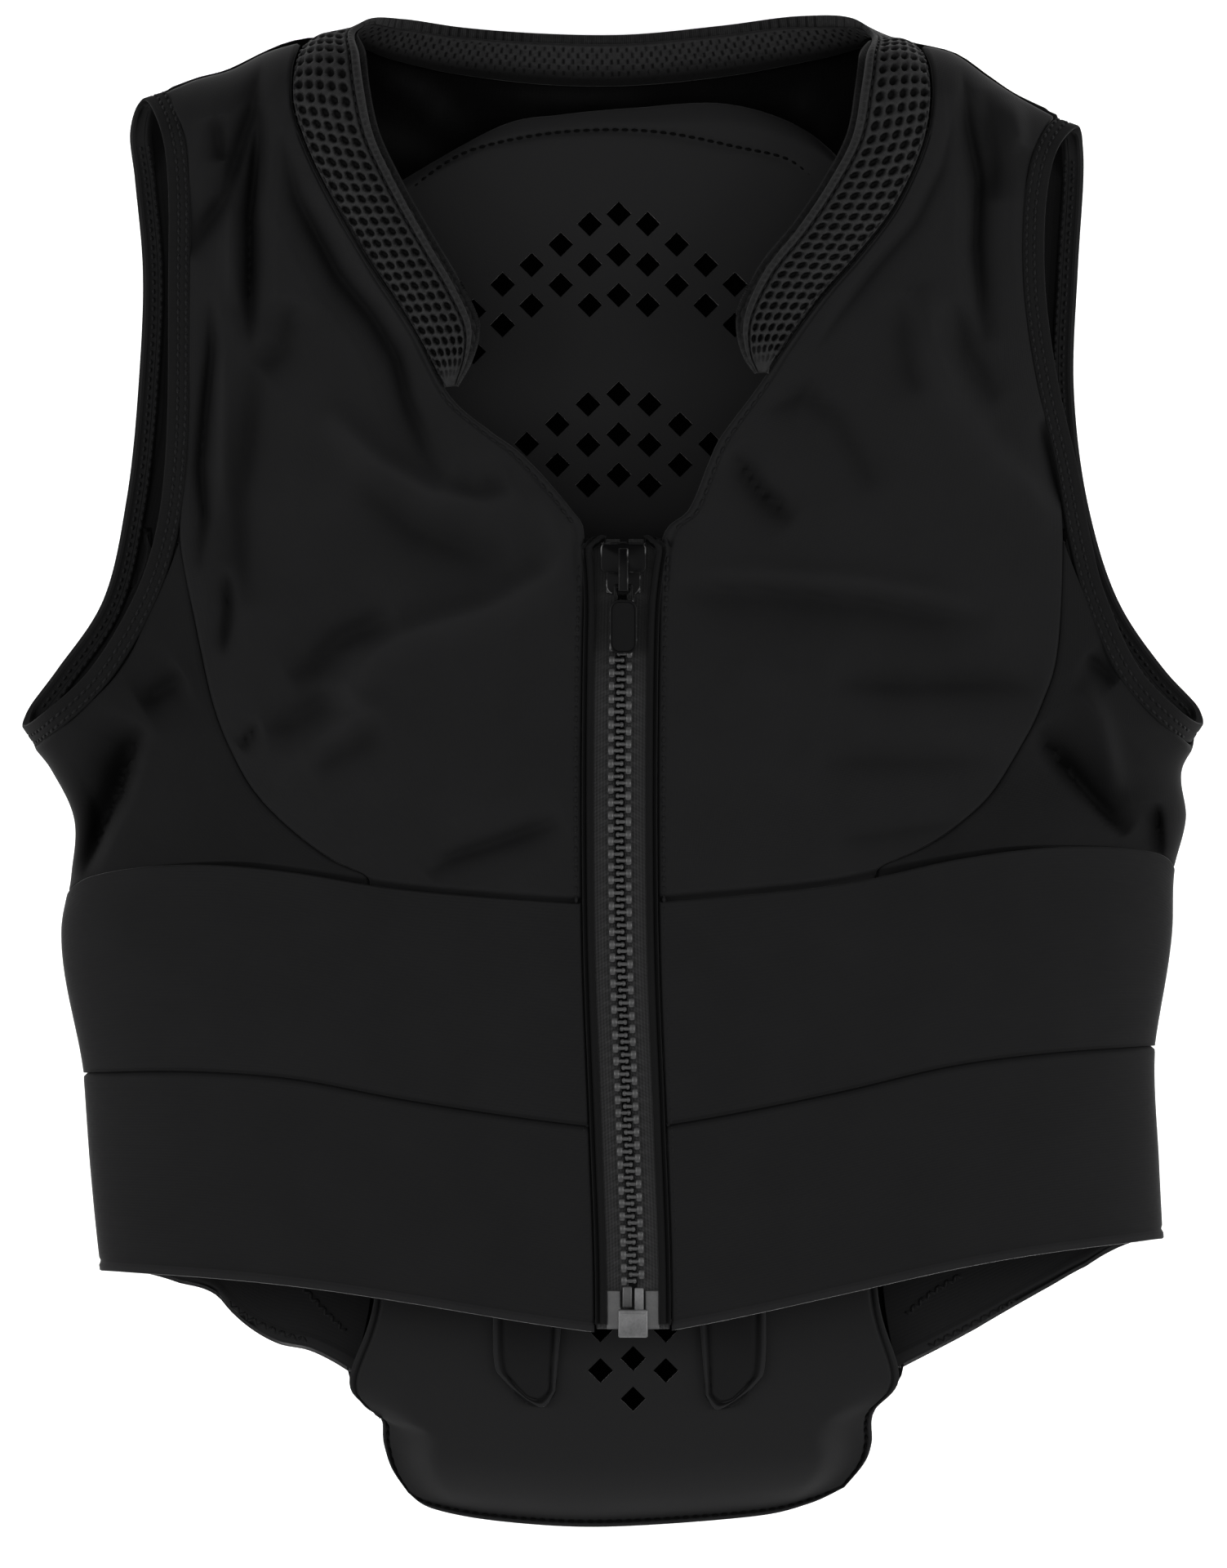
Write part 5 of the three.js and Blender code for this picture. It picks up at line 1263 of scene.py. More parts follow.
@functools.cache
def binding_surface(side):
    """The strip of an armhole binding, from its free edge to its seam."""
    def height(x, y, lift):
        return lerp(BINDING_FLOOR, front(x, y), lift)

    rows = ARMHOLE_ROWS[side]
    edge = [Vector((x, y, height(x, y, lift))) for x, y, lift, _, _ in rows]
    seam = [Vector((x + sx, y + sy, height(x + sx, y + sy, lift))) for x, y, lift, sx, sy in rows]
    strip = ribbon(edge, seam, True)

    def surface(u, v):
        point = strip(u % 1.0, v)
        point.z = max(point.z, BINDING_FLOOR)
        return point

    return surface


def zip_point(across, y, up):
    """A point beside the middle line of the zip."""
    x = zip_line(y)
    return Vector((x + across, y, front(x, y) + up))


def on_zip(y):
    """The place and slope of the zip at a height along it."""
    step = 5
    rise = zip_point(0, y + step, 0).z - zip_point(0, y - step, 0).z
    return Matrix.Translation(zip_point(0, y, 0)) @ Matrix.Rotation(math.atan2(rise, 2 * step), 4, "X")


@functools.cache
def plate_plan():
    """The plate seen from above, and its two side edges."""
    left, right = Path(PLATE["left"]), Path(PLATE["right"])
    return patch(Path(PLATE_TAIL), Path(PLATE_HEAD), left, right, 0.0), left, right


def plate_point(u, v):
    """A point of the plate's upper face, which rolls down to a flange round its tail."""
    plan, left, right = plate_plan()
    x, y = plan(u, v)
    width = (right.at(v) - left.at(v)).length
    height = (left.length + right.length) / 2
    aside = eased((min(u, 1 - u) * width - PLATE_FLANGE) / PLATE_ROLL)
    side = lerp(aside, 1.0, eased((y - PLATE_TAIL_TOP) / PLATE_TAIL_RAMP))
    if v < 0.5:
        end = risen((v * height - PLATE_FLANGE) / PLATE_END_ROLL)
    else:
        end = lerp(PLATE_HEAD_SHARE, 1.0, risen((1 - v) * height / PLATE_HEAD_ROLL))
    dome = PLATE_DOME * math.sin(math.pi * u) * math.sin(math.pi * v)
    crease = crease_height(x, y, PLATE_CREASES)
    return Vector((x, y, lerp(PLATE_FLANGE_TOP, PLATE_TOP, side * end) + dome + crease))


def apply_modifiers(piece):
    """Makes what a piece's modifiers show its own mesh."""
    bpy.context.view_layer.update()
    shown = piece.evaluated_get(bpy.context.evaluated_depsgraph_get())
    piece.data = bpy.data.meshes.new_from_object(shown)
    piece.modifiers.clear()


def worn_layer(bm):
    """The layer that marks the faces of softened edges."""
    return bm.faces.layers.float.get("wear_and_glint") or bm.faces.layers.float.new("wear_and_glint")


def soften(bm, edges, wear_and_glint, bevel, segments):
    """Rounds edges, marks the new faces for the slider paint's wear and painted highlights, and returns
    their vertices.
    """
    soft = bmesh.ops.bevel(
        bm, geom=edges, offset=bevel, segments=segments, profile=0.5, affect="EDGES", material=-1)
    for face in soft["faces"]:
        face[wear_and_glint] = 1.0
    return soft["verts"]


def blocks(bm, table, place, mirror=1):
    """Boxes with rounded edges; a mirror of -1 puts them on the other side."""
    wear_and_glint = worn_layer(bm)
    for size, (x, y, z), bevel, segments in table:
        matrix = place @ Matrix.Translation((mirror * x, y, z)) @ Matrix.Diagonal((*size, 1.0))
        made = bmesh.ops.create_cube(bm, size=1.0, matrix=matrix)
        edges = list({edge for vert in made["verts"] for edge in vert.link_edges})
        soften(bm, edges, wear_and_glint, bevel, segments)


def rounded_slab(bm, width, length, corner, thickness, place, bevel, rim=0.0, recess=0.0):
    """A flat slab with round corners seen from above and softened edges; a rim leaves a sunk field."""
    wear_and_glint = worn_layer(bm)
    made = bmesh.ops.create_grid(bm, x_segments=1, y_segments=1, size=0.5)
    bmesh.ops.scale(bm, vec=(width, length, 1.0), verts=made["verts"])
    rounded = bmesh.ops.bevel(
        bm, geom=made["verts"], offset=corner, segments=6, profile=0.5, affect="VERTICES", material=-1)
    flat = rounded["verts"][0].link_faces[0]
    raised = bmesh.ops.extrude_face_region(bm, geom=[flat], use_keep_orig=True)
    lifted = [part for part in raised["geom"] if isinstance(part, bmesh.types.BMVert)]
    bmesh.ops.translate(bm, vec=(0, 0, thickness), verts=lifted)
    body = {*lifted, *flat.verts}
    top = next(part for part in raised["geom"] if isinstance(part, bmesh.types.BMFace))
    bmesh.ops.recalc_face_normals(bm, faces=list({face for vert in body for face in vert.link_faces}))
    edges = list({*flat.edges, *top.edges})
    if rim:
        bmesh.ops.inset_region(bm, faces=[top], thickness=rim, use_even_offset=True)
        sunk = bmesh.ops.inset_region(bm, faces=[top], thickness=0.15, depth=-recess, use_even_offset=True)
        body |= {vert for face in sunk["faces"] for vert in face.verts} | set(top.verts)
    soft = soften(bm, edges, wear_and_glint, bevel, 2)
    body = {vert for vert in body if vert.is_valid} | set(soft)
    bmesh.ops.transform(bm, matrix=place, verts=list(body))


def stitch_row(bm, surface, line, pitch, thread, length=0.74, sway=0.0, lift=0.12):
    """Stitches at an even pitch along a line of a surface; sway swings them from side to side."""
    shares = [i / STITCH_STEPS for i in range(STITCH_STEPS + 1)]
    points = [surface(*line(t)) for t in shares]
    lengths = lengths_along(points)
    count = int(lengths[-1] / pitch)
    for k in range(count):
        want = (k + 0.5) * pitch
        i = clamp(bisect_left(lengths, want), 1, STITCH_STEPS - 1)
        u, v = line(shares[i])
        here = surface(u, v)
        along = (points[i + 1] - points[i - 1]).normalized()
        du, dv = surface(u + 1e-3, v) - here, surface(u, v + 1e-3) - here
        up = du.cross(dv).normalized()
        if up.z < 0:
            up.negate()
        aside = up.cross(along).normalized()
        way = along
        if sway:
            way = (along + aside * (sway if k % 2 else -sway)).normalized()
            aside = up.cross(way).normalized()
        turn = Matrix((way, aside, up)).transposed().to_4x4()
        size = Matrix.Diagonal((pitch * length / 2, thread, thread * 0.7, 1.0))
        place = Matrix.Translation(here + up * lift) @ turn @ size
        bmesh.ops.create_uvsphere(bm, u_segments=8, v_segments=4, radius=1.0, matrix=place)


class VEST_OT_stage(bpy.types.Operator):
    """Paper floor, soft lights and a camera straight above"""

    bl_idname = "vest.stage"
    bl_label = "Stage"

    def light(self, name, place, size, power):
        lamp = bpy.data.lights.new(name, "AREA")
        lamp.shape = "RECTANGLE"
        lamp.size, lamp.size_y = size
        lamp.energy = power
        thing = link(name, lamp)
        thing.location = place
        thing.rotation_euler = (Vector() - Vector(place)).to_track_quat("-Z", "Y").to_euler()

    def execute(self, context):
        scene = context.scene
        bm = bmesh.new()
        bmesh.ops.create_grid(bm, x_segments=8, y_segments=8, size=FLOOR_HALF)
        floor = link_mesh("paper_floor", bm)
        floor.data.materials.append(finish_named("floor"))
        world = bpy.data.worlds.new("studio")
        world.use_nodes = True
        sky = world.node_tree.nodes["Background"].inputs
        sky["Color"].default_value = (1.0, 1.0, 1.0, 1.0)
        sky["Strength"].default_value = WORLD_LIGHT
        scene.world = world
        for lamp in LAMPS:
            self.light(*lamp)
        height = scene.vest_sizes.camera_distance
        lens = bpy.data.cameras.new("camera")
        lens.sensor_width = SENSOR
        lens.lens = SENSOR * height / (PICTURE[1] / PICTURE_SCALE * MM)
        lens.clip_end = 100.0
        camera = link("camera", lens)
        middle = in_frame(Vector((*PICTURE_MIDDLE, 0.0)))
        camera.location = (middle.x, middle.y, height)
        scene.camera = camera
        scene.view_settings.view_transform = "Standard"
        return {"FINISHED"}


class VEST_OT_back_cloth(bpy.types.Operator):
    """The cloth of the back, lying on the floor and curling up to the shoulders"""

    bl_idname = "vest.back_cloth"
    bl_label = "Back cloth"

    def execute(self, context):
        edges, armhole = {}, {}
        for side, sign in SIDES.items():
            tail = PLATE[side][:SHELL_TAIL_POINTS]
            seam = [(sign * (back_seam[side](y) + lap), y) for y, lap in SHELL_SEAM]
            armhole[side] = [(x + sign * SHELL_ARM_REACH, y) for x, y in SHELL_TOP[side]]
            edges[side] = Path([*tail, *seam, *armhole[side]])
        fold = {side: [(x, shoulder_line(x)) for x in xs] for side, xs in SHELL_FOLD.items()}
        bottom = Path([edges["left"].at(0.0), *PLATE_TAIL[1:-1], edges["right"].at(0.0)])
        neck = [(x, y + SHELL_NECK_REACH) for x, y in SHELL_NECK]
        top = Path([armhole["left"][-1], *fold["left"], *neck, *fold["right"], armhole["right"][-1]])
        plan = patch(bottom, top, edges["left"], edges["right"])

        def crease(x, y):
            return crease_height(x, y, BACK_CREASES) if y > YOKE_FOOT else 0.0

        def surface(u, v):
            x, y = plan(u, v)
            return Vector((x, y, back_height(x, y) + crease(x, y)))

        def raised(u, v, du, dv):
            return 0.35 * clamp((SHELL_LAP + 0.4 - min(du, rest(u, du))) / 0.4)

        bm = sew(surface, "back", DOWN, shape=raised)
        # Painted shade: the inside of the back is darkened across the middle where the front and collar keep
        # light off it, not out by the armholes, and lightened on crease ridges
        shades = []
        for vert in bm.verts:
            x, y = vert.co.xy
            light = INSIDE_SHADE * clamp((abs(x) - 98) / 8) + 0.12 * crease(x, y)
            shades.append(clamp(light, 0.0, 0.5) - INSIDE_SHADE)
        mark(bm, "fold", shades)
        thick = context.scene.vest_sizes.back_cloth
        piece = put("back_cloth", bm, "back", replaces=["back_shell"], wall=thick)
        return {"FINISHED"}


class VEST_OT_back_plate(bpy.types.Operator):
    """The foam back plate with its diamond holes and sewn flange"""

    bl_idname = "vest.back_plate"
    bl_label = "Back plate"

    def holes(self):
        bm = bmesh.new()
        for middle, step, columns in DIAMONDS:
            for offset, top, count in columns:
                for sign in ((1,) if offset == 0 else (-1, 1)):
                    for k in range(count):
                        x, y = middle + sign * offset * step, top - k * DIAMOND_PITCH
                        spot = Vector((x, y, PLATE_TOP / 2))
                        bmesh.ops.create_cone(
                            bm, cap_ends=True, segments=4, radius1=DIAMOND_RADIUS, radius2=DIAMOND_RADIUS,
                            depth=2 * PLATE_TOP, matrix=Matrix.Translation(spot))
        to_frame(bm)
        return link_mesh("diamond_cutter", bm)

    def execute(self, context):
        def flange_groove(u, v, du, dv):
            return groove(min(du, rest(u, du), dv), 1.7, 0.5, 0.9)

        bm = sew(plate_point, "plate", UP, shape=flange_groove)
        made = bmesh.ops.extrude_face_region(bm, geom=bm.faces[:], use_keep_orig=True)
        for part in made["geom"]:
            if isinstance(part, bmesh.types.BMVert):
                part.co.z = PLATE_BOTTOM
        bmesh.ops.recalc_face_normals(bm, faces=bm.faces[:])
        piece = put("foam_plate", bm, "foam", replaces=["back_plate"], sharp=180)
        cutter = self.holes()
        cut = piece.modifiers.new("holes", "BOOLEAN")
        cut.operation = "DIFFERENCE"
        cut.solver = "EXACT"
        cut.object = cutter
        apply_modifiers(piece)
        bpy.data.objects.remove(cutter)
        smooth(piece.data, 50)
        return {"FINISHED"}


class VEST_OT_tail_flaps(bpy.types.Operator):
    """The two bound tongues on the tail of the plate"""

    bl_idname = "vest.tail_flaps"
    bl_label = "Tail tongues"

    def execute(self, context):
        thick = context.scene.vest_sizes.flap / MM
        for side, (outer, inner, shoulder, tip, foot) in FLAPS.items():
            slant = (lerp(tip[0], outer, 0.35), tip[1] + 2.6)
            rim = Path([(outer, FLAP_TOP), (outer, lerp(FLAP_TOP, shoulder, 0.5)), (outer, shoulder),
                        (lerp(outer, slant[0], 0.3), shoulder - 5.6), slant])
            near = Path([(inner, FLAP_TOP), (inner, lerp(FLAP_TOP, foot[1], 0.5)), foot])
            low = Path([slant, (tip[0], tip[1] + 0.6), foot])
            high = Path([(outer, FLAP_TOP), (inner, FLAP_TOP)])
            plan = patch(high, low, rim, near, 0.0)

            def surface(u, v):
                x, y = plan(u, v)
                return Vector((x, y, PLATE_TOP + 0.3 + thick))

            rim_light_and_groove_shade = []

            def bound(u, v, du, dv):
                border = min(du, rest(u, du), rest(v, dv))
                # Painted highlight along the bound rim, painted shade in the stitch groove
                rim_light_and_groove_shade.append(0.5 * clamp((1.3 - border) / 0.4) - groove(border, 2.2, 0.6, 0.3))
                return groove(border, 2.2, 0.6, 0.55) - 0.35 * clamp((1.8 - border) / 0.8)

            bm = sew(surface, "tongue", UP, sink=FLAP_SINK, shape=bound)
            mark(bm, "fold", rim_light_and_groove_shade)
            node, wall = f"tail_flap_{side}", FLAP_WALL * thick * MM
            piece = put(f"tongue_{side}", bm, "tongue", replaces=[node], wall=wall)
        return {"FINISHED"}


class VEST_OT_chest_panels(bpy.types.Operator):
    """The two front panels with their creases and hemmed neck edges"""

    bl_idname = "vest.chest_panels"
    bl_label = "Chest panels"

    def execute(self, context):
        for side in SIDES:
            def hem(u, v, du, dv, side=side):
                dip = tucked(dv, *UNDER_BAND)
                near_zip = u > 0.5 if side == "left" else u < 0.5
                first, last = NECK_OPEN
                if not near_zip or not first - 0.06 < v < last + 0.3:
                    return dip
                border = (1 - u if side == "left" else u) * NECK_SPAN
                return dip + groove(border, NECK_HEM, 0.5, 0.35) - 0.25 * clamp((1.8 - border) / 0.6)

            bm = sew(chest_surface(side), "chest", UP, sink=CLOTH_SINK, shape=hem)
            paint_fold_shade_and_light(bm)
            name, thick = f"chest_cloth_{side}", context.scene.vest_sizes.cloth
            piece = put(name, bm, "cloth", replaces=[f"chest_panel_{side}"], wall=thick)
        return {"FINISHED"}


class VEST_OT_side_panels(bpy.types.Operator):
    """The panels under the arms, from the chest seam round the side to the back"""

    bl_idname = "vest.side_panels"
    bl_label = "Side panels"

    def execute(self, context):
        for side in SIDES:
            def dip(u, v, du, dv):
                return tucked(dv, *UNDER_BAND)

            bm = sew(side_surface(side), "side", OUTWARD[side], sink=CLOTH_SINK, shape=dip)
            # Painted shade: the side panels are darkened all over, on top of the painted shade and light of
            # their folds
            paint_fold_shade_and_light(bm, -0.18)
            name, thick = f"side_cloth_{side}", context.scene.vest_sizes.cloth
            piece = put(name, bm, "cloth", replaces=[f"side_panel_{side}"], wall=thick)
        return {"FINISHED"}


class VEST_OT_waist_bands(bpy.types.Operator):
    """The padded upper and lower waist bands, from the zip round to the back"""

    bl_idname = "vest.waist_bands"
    bl_label = "Waist bands"

    def execute(self, context):
        thick = context.scene.vest_sizes.band
        for side in SIDES:
            for name, face, upper, lower in BANDS:
                def swell(u, v, du, dv, lower=lower):
                    off_floor = clamp((BAND_TURNS[2][0] - 0.02 - u) / 0.12)
                    full = -0.5 * math.sin(math.pi * clamp(v)) * clamp(du / 14) * off_floor
                    if lower == "split":
                        above = 0.6 * (1 - roll(rest(v, dv), BAND_EDGE))
                        return full - BAND_EDGE * (1 - roll(dv, BAND_EDGE) + above)
                    bound = groove(dv, 2.6, 0.5, 0.3) - 0.25 * clamp((2.2 - dv) / 0.6) * off_floor
                    return full + tucked(rest(v, dv), 1.5, 1.2) + bound

                bm = sew(band_surface(side, upper, lower), "band", OUTWARD[side], shape=swell)
                node = f"{name}_band_{side}"
                piece = put(f"{name}_waist_band_{side}", bm, face, replaces=[node], wall=thick)
        return {"FINISHED"}


class VEST_OT_collar(bpy.types.Operator):
    """The stand collar of holed spacer mesh with its rolled rim"""

    bl_idname = "vest.collar"
    bl_label = "Collar"

    def execute(self, context):
        sizes = context.scene.vest_sizes
        pitch, slit_pitch, slit_row = sizes.hole_pitch / MM, sizes.slit_pitch / MM, sizes.slit_row / MM
        length = collar_course()[1][-1]
        low, high = COLLAR_HOLES
        lean, lean_full, lean_end = COLLAR_SLANT

        def behind(u):
            """1 on the front parts, -1 behind the neck, where the other face is seen."""
            first, last = COLLAR_BACK
            return 1 - 2 * clamp((min(u, 1 - u) - first) / (last - first))

        # Depth of a hole, groove or slit, which also darkens the yarn as painted shade; behind the neck it
        # makes no dent, so the slits, the line below the rim and the darkened lower half are painted shade
        # only
        def hole(u, v, dv):
            along = min(u, 1 - u) * length
            if behind(u) < 0:
                row = math.floor(dv / slit_row)
                aside = abs((along + (slit_pitch / 2 if row % 2 else 0.0)) % slit_pitch - slit_pitch / 2)
                upright = abs(dv % slit_row - slit_row / 2)
                slit = clamp((0.42 - aside) / 0.2) * clamp((slit_row * 0.5 - upright) / 0.25)
                slit *= clamp((0.86 - v) / 0.03) + 0.7 * clamp((v - 0.94) / 0.03)
                line = groove(v, 0.9, 0.02, 0.8)
                return max(slit, line, 0.95 * clamp((0.5 - v) / 0.3))
            if low < v < high:
                slant = lean * clamp((lean_end - min(u, 1 - u)) / (lean_end - lean_full))
                over = abs((v - low) / (high - low) * COLLAR_COLUMNS % 1.0 - 0.5) / 0.37
                up = abs((along + slant * dv) / pitch % 1.0 - 0.5) / 0.36
                return clamp((1.1 - math.hypot(over, up)) / 0.35) * clamp(along / 6 - 0.4)
            tick = 0.45 * clamp((v - 0.9) / 0.02) * clamp((0.98 - v) / 0.02)
            tick *= clamp((0.4 - abs(along / 1.7 % 1.0 - 0.5)) / 0.1)
            return max(groove(v, COLLAR_GROOVE, 0.02, 0.8), tick)

        depths, ends = [], []

        def relief(u, v, du, dv):
            seen = behind(u)
            deep = hole(u, v, dv)
            depths.append(deep)
            near = min(u, 1 - u)
            ends.append(clamp(0.2 + near * length / 16) * (1 - groove(near, *COLLAR_CORNER)))
            rim = 0.55 * math.sin(math.pi * clamp((v - COLLAR_GROOVE) / (1 - COLLAR_GROOVE)))
            dip = groove(v, COLLAR_SEAM, 0.02, 0.5)
            swell = 1.5 * math.sin(math.pi * clamp(v / COLLAR_GROOVE)) * clamp(near / 0.06)
            return max(seen, 0.0) * (1.4 * deep * clamp((0.9 - v) / 0.02) + dip - rim - swell)

        bm = sew(collar_point, "collar", UP, shape=relief, seen=(0.15, 0.5))
        mark(bm, "hole_depth_and_shade", depths)
        piece = put(
            "collar_mesh", bm, "mesh", replaces=["collar_band"], sharp=80,
            wall=sizes.collar)
        full = piece.vertex_groups.new(name="full_thickness")
        for index, weight in enumerate(ends):
            full.add([index], weight, "REPLACE")
        piece.modifiers["wall"].vertex_group = full.name
        return {"FINISHED"}


class VEST_OT_armhole_bindings(bpy.types.Operator):
    """The bound armhole edges"""

    bl_idname = "vest.armhole_bindings"
    bl_label = "Armhole bindings"

    def execute(self, context):
        def relief(u, v, du, dv):
            return sum(groove(v, seam, 0.05, 0.25) for seam in BINDING_SEAMS)

        thick = context.scene.vest_sizes.binding
        for side in SIDES:
            bm = sew(binding_surface(side), "binding", UP, closed=True, shape=relief, seen=(0.2, 0.5))
            # Painted light: the low back part of each binding is lightened against the shade that the raised
            # front casts on it
            mark(bm, "fold", [0.45 * clamp((FOLD_HEIGHT - vert.co.z) / 4) for vert in bm.verts])
            node = f"armhole_binding_{side}"
            piece = put(f"binding_{side}", bm, "binding", replaces=[node], wall=thick)
        return {"FINISHED"}


class VEST_OT_zip_cloth(bpy.types.Operator):
    """The zip tapes, the folded edges beside them and the film on the lower ends"""

    bl_idname = "vest.zip_cloth"
    bl_label = "Zip tapes"

    def strip(self, grid, side, across, ends, up, bent=False):
        first, last = ends

        def surface(u, v):
            y = lerp(first, last, v)
            aside, rise = lerp(*across, u), up
            if bent:
                over = clamp((y - WELT_BEND) / (last - WELT_BEND))
                aside += WELT_FLARE * clamp((y - SLIDER_Y + 14) / 18) ** 2 - WELT_TURN * over ** 2
                rise += 0.9 * math.sin(math.pi * over) - 1.6 * over ** 3
            return zip_point(SIDES[side] * aside, y, rise)

        def fold(u, v, du, dv):
            return groove(u, 0.72, 0.16, 1.3)

        return sew(surface, grid, UP, shape=fold if bent else None)

    def execute(self, context):
        sizes = context.scene.vest_sizes
        for side in SIDES:
            bm = self.strip("tape", side, TAPE_ACROSS, TAPE_ENDS, TAPE_TOP)
            put(f"tape_{side}", bm, "tape", replaces=[f"zip_tape_{side}"], wall=sizes.tape)
            bm = self.strip("welt", side, WELT_ACROSS, (WELT_START, WELT_END), WELT_TOP, True)
            node = f"zip_welt_{side}"
            welt = put(f"welt_{side}", bm, "binding", replaces=[node], wall=sizes.welt)
            bm = self.strip("film", side, FILM_ACROSS, (TAPE_ENDS[0], FILM_END), FILM_TOP)
            node = f"zip_end_film_{side}"
            put(f"end_film_{side}", bm, "film", replaces=[node], wall=sizes.film)
        return {"FINISHED"}


class VEST_OT_zip_teeth(bpy.types.Operator):
    """Two rows of moulded teeth, each a foot on the tape, a neck and a rounded head"""

    bl_idname = "vest.zip_teeth"
    bl_label = "Zip teeth"

    def execute(self, context):
        for side, sign in SIDES.items():
            bm = bmesh.new()
            shift = 0.0 if side == "left" else TEETH_PITCH / 2
            for i in range(TEETH_COUNT):
                y = TEETH_START + (i + TOOTH_PHASE) * TEETH_PITCH + shift
                blocks(bm, TOOTH, on_zip(y), sign)
            put(f"teeth_{side}", bm, "plastic", replaces=[f"zip_teeth_{side}"], sharp=50)
        return {"FINISHED"}


class VEST_OT_zip_slider(bpy.types.Operator):
    """The slider with its bridge, and the pull tab that hangs in the bridge"""

    bl_idname = "vest.zip_slider"
    bl_label = "Slider and pull"

    def execute(self, context):
        place = on_zip(SLIDER_Y)
        bm = bmesh.new()
        for *slab, spot in SLIDER_SLABS:
            rounded_slab(bm, *slab, place @ Matrix.Translation(spot), SLIDER_BEVEL)
        for sign in (-1, 1):
            blocks(bm, SLIDER_PAIRS, place, sign)
        blocks(bm, SLIDER_BLOCKS, place)
        put("slider_body", bm, "paint", replaces=["zip_slider"], sharp=35)

        hinge = Vector(frame["joints"][0]["pos_m"]) / MM - ZERO
        slope = place.to_euler().x
        seat = Matrix.Translation(hinge) @ Matrix.Rotation(slope + PULL_TILT, 4, "X")
        bm = bmesh.new()
        rounded_slab(bm, *PULL_SLAB, seat @ Matrix.Translation(PULL_PLACE), *PULL_EDGE)
        for sign in (-1, 1):
            blocks(bm, PULL_ARMS, seat, sign)
        bar = seat @ Matrix.Rotation(math.pi / 2, 4, "Y")
        radius, length = PULL_BAR
        bmesh.ops.create_cone(
            bm, cap_ends=True, segments=16, radius1=radius, radius2=radius, depth=length, matrix=bar)
        put("pull_tab", bm, "paint", body="pull", replaces=["zip_pull"], sharp=35)
        return {"FINISHED"}


class VEST_OT_zip_foot(bpy.types.Operator):
    """The box and the pin at the lower end of the zip"""

    bl_idname = "vest.zip_foot"
    bl_label = "Zip box and pin"

    def execute(self, context):
        place = on_zip(FOOT_Y)
        for name, table, finish, node in (
            ("foot_box", FOOT_BOX, "box", "zip_box"), ("foot_pin", FOOT_PIN, "plastic", "zip_pin"),
        ):
            bm = bmesh.new()
            blocks(bm, table, place)
            put(name, bm, finish, replaces=[node], sharp=35)
        return {"FINISHED"}


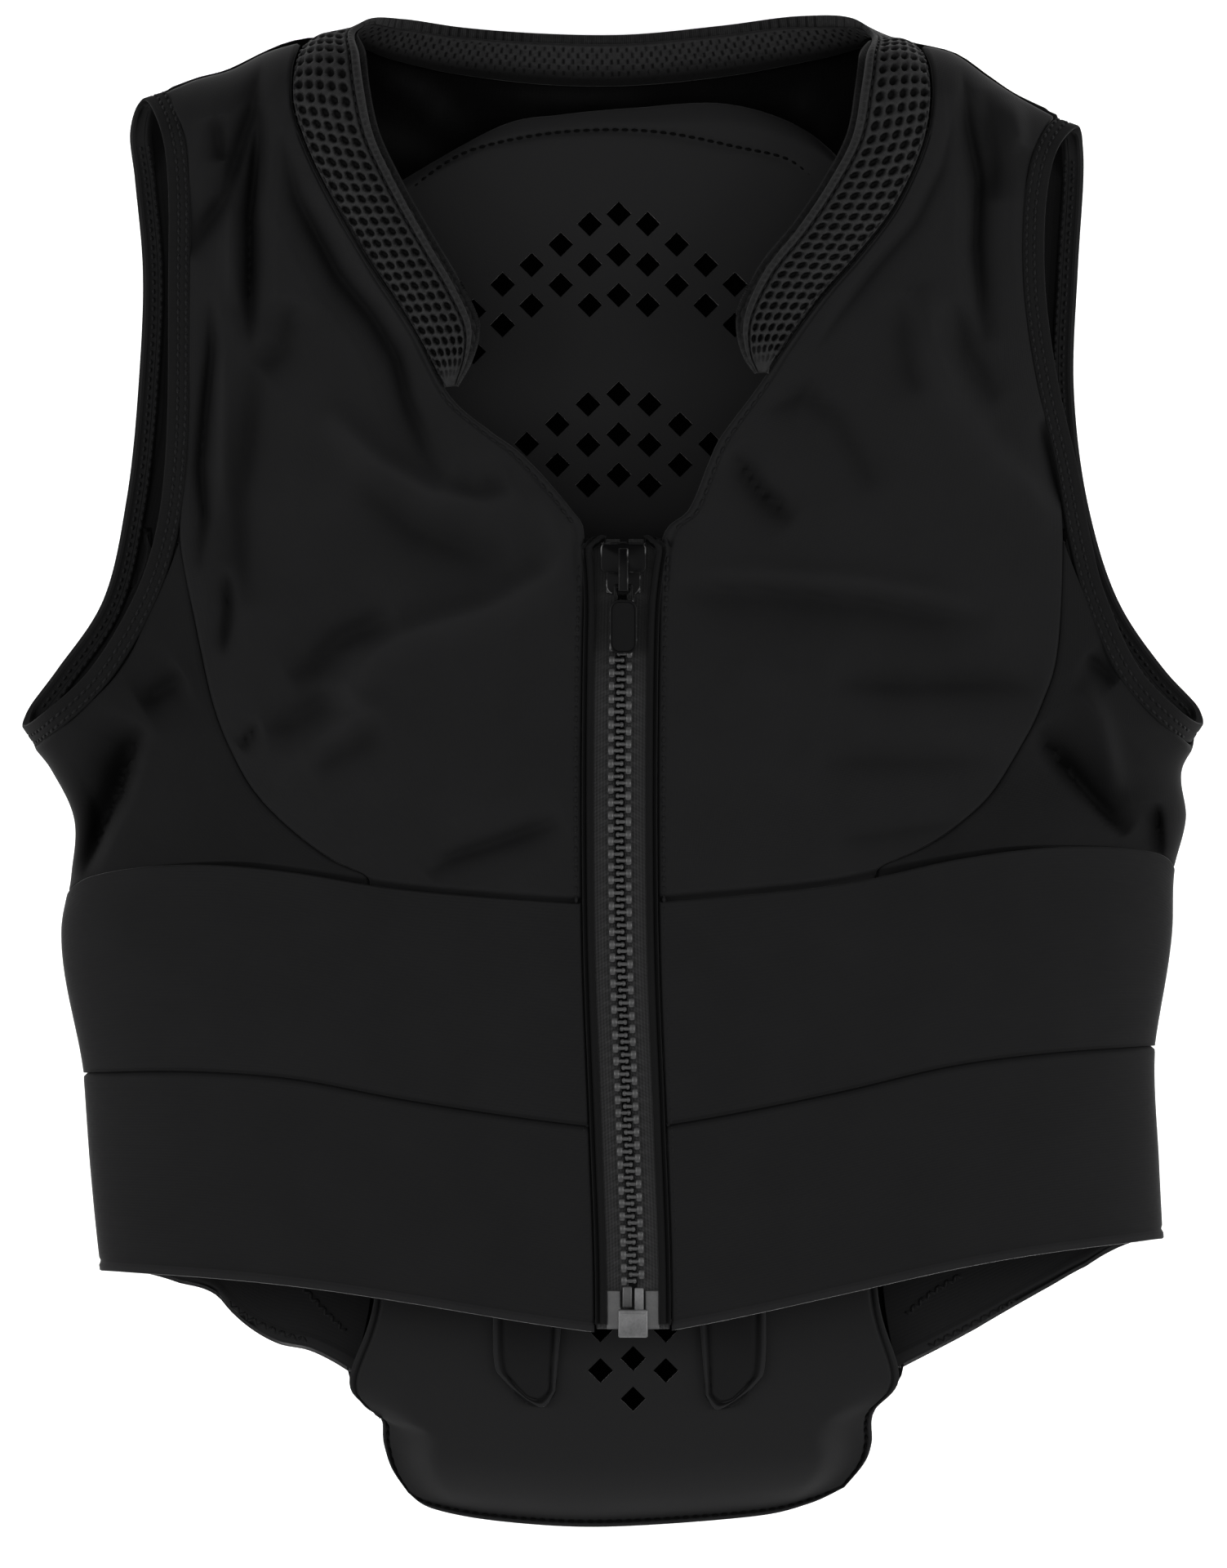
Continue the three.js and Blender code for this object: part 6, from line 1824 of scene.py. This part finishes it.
class VEST_OT_stitching(bpy.types.Operator):
    """Rows of stitches along the collar, armholes, neck, zip and plate and on the bands' rear ends"""

    bl_idname = "vest.stitching"
    bl_label = "Stitching"

    def execute(self, context):
        sizes = context.scene.vest_sizes
        pitch, thread = sizes.stitch / MM, sizes.thread / MM

        def rows(name, *lines, finish="thread"):
            bm = bmesh.new()
            for surface, line, options in lines:
                stitch_row(bm, surface, line, **{"pitch": pitch, "thread": thread, **options})
            put(name, bm, finish, sharp=180)

        def across(ends, v):
            return lambda t: (lerp(*ends, t), v)

        def along(u, ends):
            return lambda t: (u, lerp(*ends, t))

        def follow(points):
            path = Path(points)
            return lambda t: path.at(t)[:]

        def on_plate(x, y):
            return Vector((x, y, PLATE_TOP))

        def on_wing(x, y):
            return Vector((x, y, sizes.band / MM))

        def beside_zip(y, x):
            return zip_point(x, y, 0)

        rows("collar_stitches", *(
            (collar_point, across(ends, v), {"lift": lift}) for v, ends, lift in COLLAR_STITCHES))
        lifts = {"outside": -0.1, "inside": sizes.binding / MM + 0.15}
        hem = NECK_HEM / NECK_SPAN
        for side, sign in SIDES.items():
            rows(f"binding_stitches_{side}", *(
                (binding_surface(side), across(ends, v), {"pitch": 2.2, "lift": lifts[part]})
                for v in BINDING_SEAMS for part, ends in BINDING_STITCHES.items()))
            rows(f"neck_stitches_{side}", (
                chest_surface(side), along(1 - hem if side == "left" else hem, NECK_OPEN),
                {"lift": -CLOTH_SINK - 0.2}))
            rows(f"zip_stitches_{side}", (
                beside_zip, across(ZIP_STITCHES, sign * ZIP_STITCHES_ASIDE),
                {"lift": -CLOTH_SINK + 0.05, "pitch": 2.5}))
        rows("plate_stitches", (on_plate, follow(PLATE_ARC), PLATE_THREAD), finish="dark_thread")
        for side, lines in WING_SEAMS.items():
            rows(f"wing_stitches_{side}", *((on_wing, follow(points), ZIGZAG_THREAD) for points in lines))
        ends, (left, right) = FLANGE_SIDES
        flange = (across(*FLANGE_TAIL), along(left, ends), along(right, ends))
        sunk = ((plate_point, line, FLANGE_THREAD) for line in flange)
        rows("flange_stitches", *sunk, finish="dark_thread")
        return {"FINISHED"}


class VEST_PT_panel(bpy.types.Panel):
    """Lists the pieces of the vest and their sizes and colours"""

    bl_idname = "VEST_PT_panel"
    bl_label = "Protective vest"
    bl_space_type = "VIEW_3D"
    bl_region_type = "UI"
    bl_category = "Vest"

    def draw(self, context):
        for group in (context.scene.vest_sizes, context.scene.vest_colours):
            box = self.layout.box()
            for name in group.__annotations__:
                box.prop(group, name)
        for operator in OPERATORS:
            self.layout.operator(operator.bl_idname)


OPERATORS = (
    VEST_OT_stage, VEST_OT_back_cloth, VEST_OT_back_plate, VEST_OT_tail_flaps, VEST_OT_chest_panels,
    VEST_OT_side_panels, VEST_OT_waist_bands, VEST_OT_collar, VEST_OT_armhole_bindings, VEST_OT_zip_cloth,
    VEST_OT_zip_teeth, VEST_OT_zip_slider, VEST_OT_zip_foot, VEST_OT_stitching,
)
CLASSES = (VestSizes, VestColours, *OPERATORS, VEST_PT_panel)


def register():
    for made in CLASSES:
        bpy.utils.register_class(made)
    bpy.types.Scene.vest_sizes = bpy.props.PointerProperty(type=VestSizes)
    bpy.types.Scene.vest_colours = bpy.props.PointerProperty(type=VestColours)


def unregister():
    del bpy.types.Scene.vest_colours
    del bpy.types.Scene.vest_sizes
    for made in reversed(CLASSES):
        bpy.utils.unregister_class(made)


def main():
    register()
    for operator in OPERATORS:
        area, name = operator.bl_idname.split(".")
        getattr(getattr(bpy.ops, area), name)()


if __name__ == "__main__":
    main()
